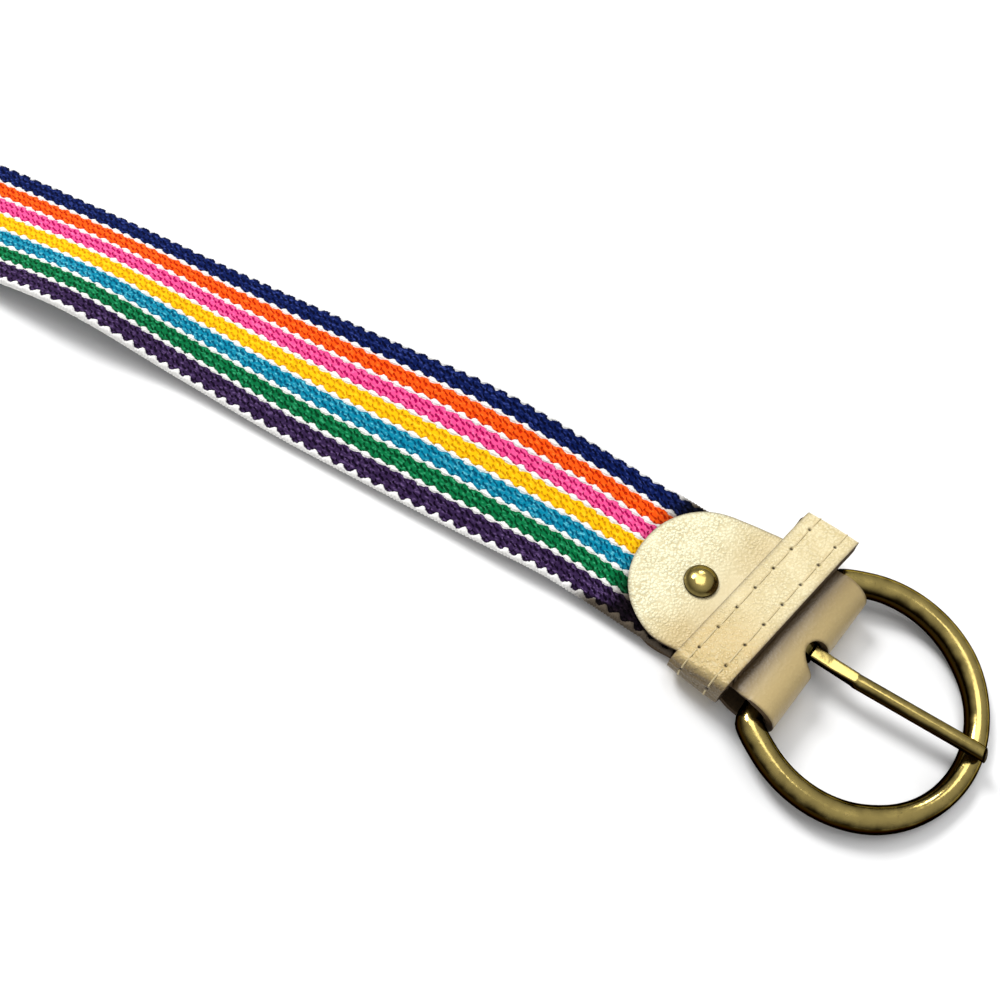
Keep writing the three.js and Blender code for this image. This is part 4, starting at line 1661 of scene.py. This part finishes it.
@dataclass
class Prong(Part):
    """Eye round the bar, a flat neck with a shoulder, and a round shaft."""

    aim: float = 4.3
    eye_inner: float = 2.4
    eye_outer: float = 3.45
    # How far inside the eye's wall the neck starts.
    root: float = 0.35
    width: float = 2.6
    neck: float = 2.3
    flat: float = 1.7
    squareness: float = 0.62
    root_top: float = 2.3
    # Where the facet rises to the shoulder, and where the flat turns into the shaft round it.
    facet: float = 6.3
    shoulder: float = 10.9
    turn: Pair = (-0.15, 0.35)
    shaft: float = 1.38
    tip_radius: float = 1.2
    # Where the shaft thins, from before the front to past the tip.
    thinning: Pair = (-3.0, 1.0)
    # Its sag past the front, where that starts, and the spare length that the cut takes off.
    sag: float = 0.35
    sag_from: float = -1.0
    spare: float = 1.5
    tip: float = 34.4
    tip_slant: float = 35.0
    tip_drop: float = 0.3
    rest_height: float = 3.68
    rounding: float = 0.12
    eye_faces: int = 48
    cells: tuple[int, int] = (150, 32)

    @property
    def aside(self) -> float:
        """Returns how far the flat lies to the side of the ring's middle."""
        return self.shoulder * math.tan(math.radians(self.aim))

    def height(self, x: Array) -> Array:
        """Returns the height of the middle over the bar's axis."""
        start, front = self.root_top - self.flat / 2, self.layout.front_reach
        return self.rest_height + (x - front) * (self.rest_height - start) / front

    def swept(self, p: Array) -> Array:
        """Wraps a grid round the prong's middle line.

        Args:
            p: places of the grid, along and round.

        Returns:
            Places in the ring's frame, with the bend at the shoulder.
        """
        start, end = self.eye_inner + self.root, self.tip + self.spare
        x, turn = start + (end - start) * p[:, 0], p[:, 1] * 2 * math.pi
        flat = 1 - smoothstep(x, *(self.shoulder + step for step in self.turn))
        climb = np.clip((x - self.facet) / (self.shoulder - self.facet), 0, 1)
        blade = self.width + (self.neck - self.width) * (x - start) / (self.shoulder - start)
        wedge = self.flat / 2 + (self.shaft - self.flat / 2) * climb
        wide, top, under = (
            size * flat + self.shaft * (1 - flat) for size in (blade / 2, wedge, self.flat / 2)
        )
        front, power = self.layout.front_reach, 1 - self.squareness * flat
        thin = smoothstep(x, front + self.thinning[0], self.tip + self.thinning[1])
        slim = 1 - (1 - self.tip_radius / self.shaft) * thin
        c, s = np.cos(turn), np.sin(turn)
        y = np.sign(c) * np.abs(c) ** power * wide * slim
        z = np.sign(s) * np.abs(s) ** power * np.where(s > 0, top, under) * slim
        sag = self.sag * smoothstep(x, front + self.sag_from, end)
        aim, beyond = math.radians(self.aim), np.maximum(x - self.shoulder, 0)
        along = x - beyond * (1 - math.cos(aim)) - y * math.sin(aim) * (beyond > 0)
        return np.c_[along, self.aside + beyond * math.sin(aim) + y, self.height(x) + z - sag]

    def build(self) -> bpy.types.Object:
        """Builds the prong.

        Returns:
            The object.
        """
        near, far = self.aside - self.width / 2, self.aside + self.width / 2
        inner, outer = self.eye_inner, self.eye_outer
        corners = ((inner, near, 0), (outer, near, 0), (outer, far, 0), (inner, far, 0))
        piece = Piece("prong_tongue").spun(corners, (0, 1, 0), self.eye_faces, closed=True)
        eye = len(piece.bm.verts)
        piece.grid(*self.cells).mapped(lambda p: np.r_[p[:eye], self.swept(p[eye:])])
        piece.welded().capped()
        self.cut_tip(piece)
        piece.placed(self.layout.ring).outward()
        edges = rounded(self.rounding, segments=2, angle=50)
        return piece.made(self.finishes.brass, Body.TONGUE, Slot.BRASS, "prong", [edges])

    def cut_tip(self, piece: Piece) -> None:
        """Cuts the end of the shaft on the slant and closes it.

        Args:
            piece: the prong.
        """
        aim, slant = math.radians(self.aim), math.radians(self.tip_slant)
        ahead = Vector((math.cos(aim), math.sin(aim), 0))
        point = ahead * self.tip + Vector((0, 0, self.rest_height - self.tip_drop))
        normal = ahead * math.cos(slant) + Vector((0, 0, math.sin(slant)))
        geom = [*piece.bm.verts, *piece.bm.edges, *piece.bm.faces]
        bmesh.ops.bisect_plane(piece.bm, geom=geom, plane_co=point, plane_no=normal, clear_outer=True)
        piece.capped()


@dataclass
class Rivet(Part):
    """Domed cap and flat head through the tab."""

    seat: float = 5.55
    rounding: float = 0.05
    faces: int = 72
    # Side view from the middle of the cap down its outside to the middle of the flat head.
    profile: tuple[Pair, ...] = (
        (0.0, 1.5), (0.7, 1.47), (1.4, 1.33), (2.0, 1.08), (2.5, 0.72), (2.82, 0.42), (3.0, 0.36),
        (3.15, 0.24), (3.15, 0.08), (3.05, 0.0), (1.25, 0.0), (1.25, -4.85), (2.4, -4.85),
        (2.5, -4.95), (2.5, -5.35), (2.4, -5.45), (0.0, -5.45),
    )

    def build(self) -> bpy.types.Object:
        """Builds the rivet.

        Returns:
            The object.
        """
        corners = [(x, 0, z + self.seat) for x, z in self.profile]
        piece = Piece("rivet_cap").spun(corners, (0, 0, 1), self.faces)
        piece.welded().placed(self.layout.tab @ Matrix.Translation((*self.layout.rivet, 0)))
        edges = rounded(self.rounding, segments=2, angle=40)
        return piece.made(self.finishes.brass, Body.STRAP, Slot.BRASS, "rivet", [edges])


@dataclass
class StrapTip(Part):
    """Plain leather tip of two plies, with a row of holes."""

    middle: float = -3.6
    root: float = -574.0
    end: float = -686.0
    ply: float = 1.2
    # The lower ply is thinner by twice this much, and lies lower by it.
    slack: float = 0.02
    rounding: float = 0.25
    overlap: float = 18.0
    taper: float = 9.0
    nose: float = 20.0
    pocket: float = 2.6
    hole: float = 1.9
    first_hole: float = -664.0
    hole_spacing: float = 15.0
    hole_count: int = 5
    cell: float = 0.55
    grain: float = 0.8
    tone: float = 0.4
    # Darker rim: its share and its reach.
    burnished: Pair = (0.6, 0.4)

    def inside(self, p: Array) -> Array:
        """Works out how far places lie inside the outline.

        Args:
            p: places on the table.

        Returns:
            Distances, which are negative outside.
        """
        x, y, half = p[:, 0], p[:, 1] - self.middle, self.layout.tab_half_width
        beyond = np.maximum(self.end + self.nose - x, 0) / self.nose
        depth = np.minimum(half * (1 - np.hypot(beyond, y / half)), self.root - x)
        for i in range(self.hole_count):
            depth = np.minimum(depth, np.hypot(x - self.first_hole - i * self.hole_spacing, y) - self.hole)
        return depth

    def laid(self, p: Array, upper: bool) -> Array:
        """Lifts a ply to its height, the upper one over the end of the webbing.

        Args:
            p: places of the flat ply.
            upper: whether it is the upper one.

        Returns:
            Places on the table.
        """
        start = self.root - self.overlap
        lifted = 2 * self.ply + self.pocket * smoothstep(p[:, 0], start - self.taper, start)
        return np.c_[p[:, :2], lifted if upper else np.full(len(p), self.ply - self.slack)]

    def build(self) -> list[bpy.types.Object]:
        """Builds both plies.

        Returns:
            The upper and the lower ply.
        """
        half = self.layout.tab_half_width
        low, high = (self.end, self.middle - half), (self.root, self.middle + half)
        made = []
        for name, upper in (("strap_tip_upper", True), ("strap_tip_lower", False)):
            piece = LeatherPattern(name, low, high, self.cell, self.inside).piece
            depth = np.maximum(self.inside(piece.places), 0)
            share, reach = self.burnished
            even = {"pit": 0.0, "grain": self.grain, "tone": self.tone}
            values = {key: np.full(len(depth), value) for key, value in even.items()}
            piece.tagged(**values, burnish=share * np.exp(-depth / reach))
            piece.mapped(partial(self.laid, upper=upper)).placed(self.layout.table).outward()
            if sum(face.normal.z for face in piece.bm.faces) < 0:
                bmesh.ops.reverse_faces(piece.bm, faces=piece.bm.faces)
            walls = leather_walls(self.ply if upper else self.ply - 2 * self.slack, self.rounding)
            made.append(piece.made(self.finishes.leather, Body.STRAP, Slot.LEATHER, "strap_tip", walls))
        return made


@dataclass(frozen=True)
class Lamp:
    """Soft square lamp: where it stands from the belt, its side in metres and its power in watts."""

    name: str
    direction: Triple
    size: float
    power: float


@dataclass
class Studio:
    """Table, lights and camera."""

    layout: Layout
    azimuth: float = 31.85
    elevation: float = 62.89
    roll: float = -1.14
    place: Triple = (-13.73, -73.9, 172.14)
    lens: float = 36.0
    nearest: float = 0.005
    target: Triple = (-60.24, 0.97, 0.0)
    lamp_distance: float = 3.0
    lamps: tuple[Lamp, ...] = (
        Lamp("key", (-0.85, 0.4, 1.05), 0.9, 62.0),
        Lamp("fill", (-0.15, 0.4, 1.6), 1.9, 28.0),
        Lamp("rim", (-0.25, 0.85, 0.7), 0.5, 12.0),
    )
    # How far up the room's light starts to grow and stops, and its strength there.
    room_rise: Pair = (0.2, 0.9)
    room_light: Pair = (0.3, 0.52)
    table_side: float = 8.0
    table_drop: float = 0.00002

    def camera(self) -> None:
        """Sets the camera at the photograph's angle."""
        a, e, r = (math.radians(v) for v in (self.azimuth, self.elevation, self.roll))
        right = Vector((math.cos(a), math.sin(a), 0))
        back = Vector((math.sin(a) * math.cos(e), -math.cos(a) * math.cos(e), math.sin(e)))
        up = back.cross(right)
        across = right * math.cos(r) + up * math.sin(r)
        above = up * math.cos(r) - right * math.sin(r)
        data = bpy.data.cameras.new("camera")
        data.sensor_width = data.lens = self.lens
        data.clip_start = self.nearest
        camera = bpy.data.objects.new("camera", data)
        matrix = Matrix((across, above, back)).transposed().to_4x4()
        matrix.translation = self.layout.table @ Vector(self.place)
        camera.matrix_world = matrix
        bpy.context.scene.collection.objects.link(camera)
        bpy.context.scene.camera = camera

    def lit(self, lamp: Lamp) -> None:
        """Adds a lamp that faces the buckle end.

        Args:
            lamp: what it is.
        """
        data = bpy.data.lights.new(lamp.name, "AREA")
        data.size, data.energy = lamp.size, lamp.power
        obj = bpy.data.objects.new(lamp.name, data)
        aim = Vector(lamp.direction).normalized()
        obj.location = self.layout.table @ Vector(self.target) + aim * self.lamp_distance
        obj.rotation_euler = aim.to_track_quat("Z", "Y").to_euler()
        bpy.context.scene.collection.objects.link(obj)

    def build(self) -> None:
        """Adds the table and the lights."""
        piece = Piece("table_top").grid(1, 1)
        piece.mapped(lambda p: np.c_[(p[:, :2] - 0.5) * self.table_side, np.full(len(p), -self.table_drop)])
        table = piece.linked([PaleTable().build()])
        for lamp in self.lamps:
            self.lit(lamp)
        bpy.context.scene.view_settings.view_transform = "Standard"
        bpy.context.scene.world = self.room()

    def room(self) -> bpy.types.World:
        """Makes the room's light.

        Returns:
            A world that is pale overhead and dim round the horizon.
        """
        world = bpy.data.worlds.new("studio")
        world.use_nodes = True
        tree = world.node_tree
        kinds = ("ShaderNodeTexCoord", "ShaderNodeSeparateXYZ", "ShaderNodeMapRange")
        where, parts, fade = (tree.nodes.new(kind) for kind in kinds)
        tree.links.new(where.outputs["Generated"], parts.inputs[0])
        tree.links.new(parts.outputs[2], fade.inputs[0])
        for index, value in enumerate((*self.room_rise, *self.room_light), 1):
            fade.inputs[index].default_value = value
        background = tree.nodes["Background"]
        background.inputs[0].default_value = (1, 1, 1, 1)
        tree.links.new(fade.outputs[0], background.inputs[1])
        return world


def main() -> None:
    """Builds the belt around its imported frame."""
    logging.basicConfig(level=logging.INFO)
    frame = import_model()
    layout = Layout(Vector(frame["joints"][0]["pos_m"]))
    finishes = Finishes(
        elastic=[WovenStripes().build()],
        leather=[GrainedLeather().build(), FleshSide().build()],
        brass=[AntiqueBrass().build()],
        thread=[SewingThread().build()],
    )
    studio = Studio(layout)
    studio.camera()
    for part in (Webbing, LeatherTab, Keeper, Rivet, BuckleFrame, Prong, StrapTip):
        part(layout, finishes).build()
    studio.build()
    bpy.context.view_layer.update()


if __name__ == "__main__":
    main()
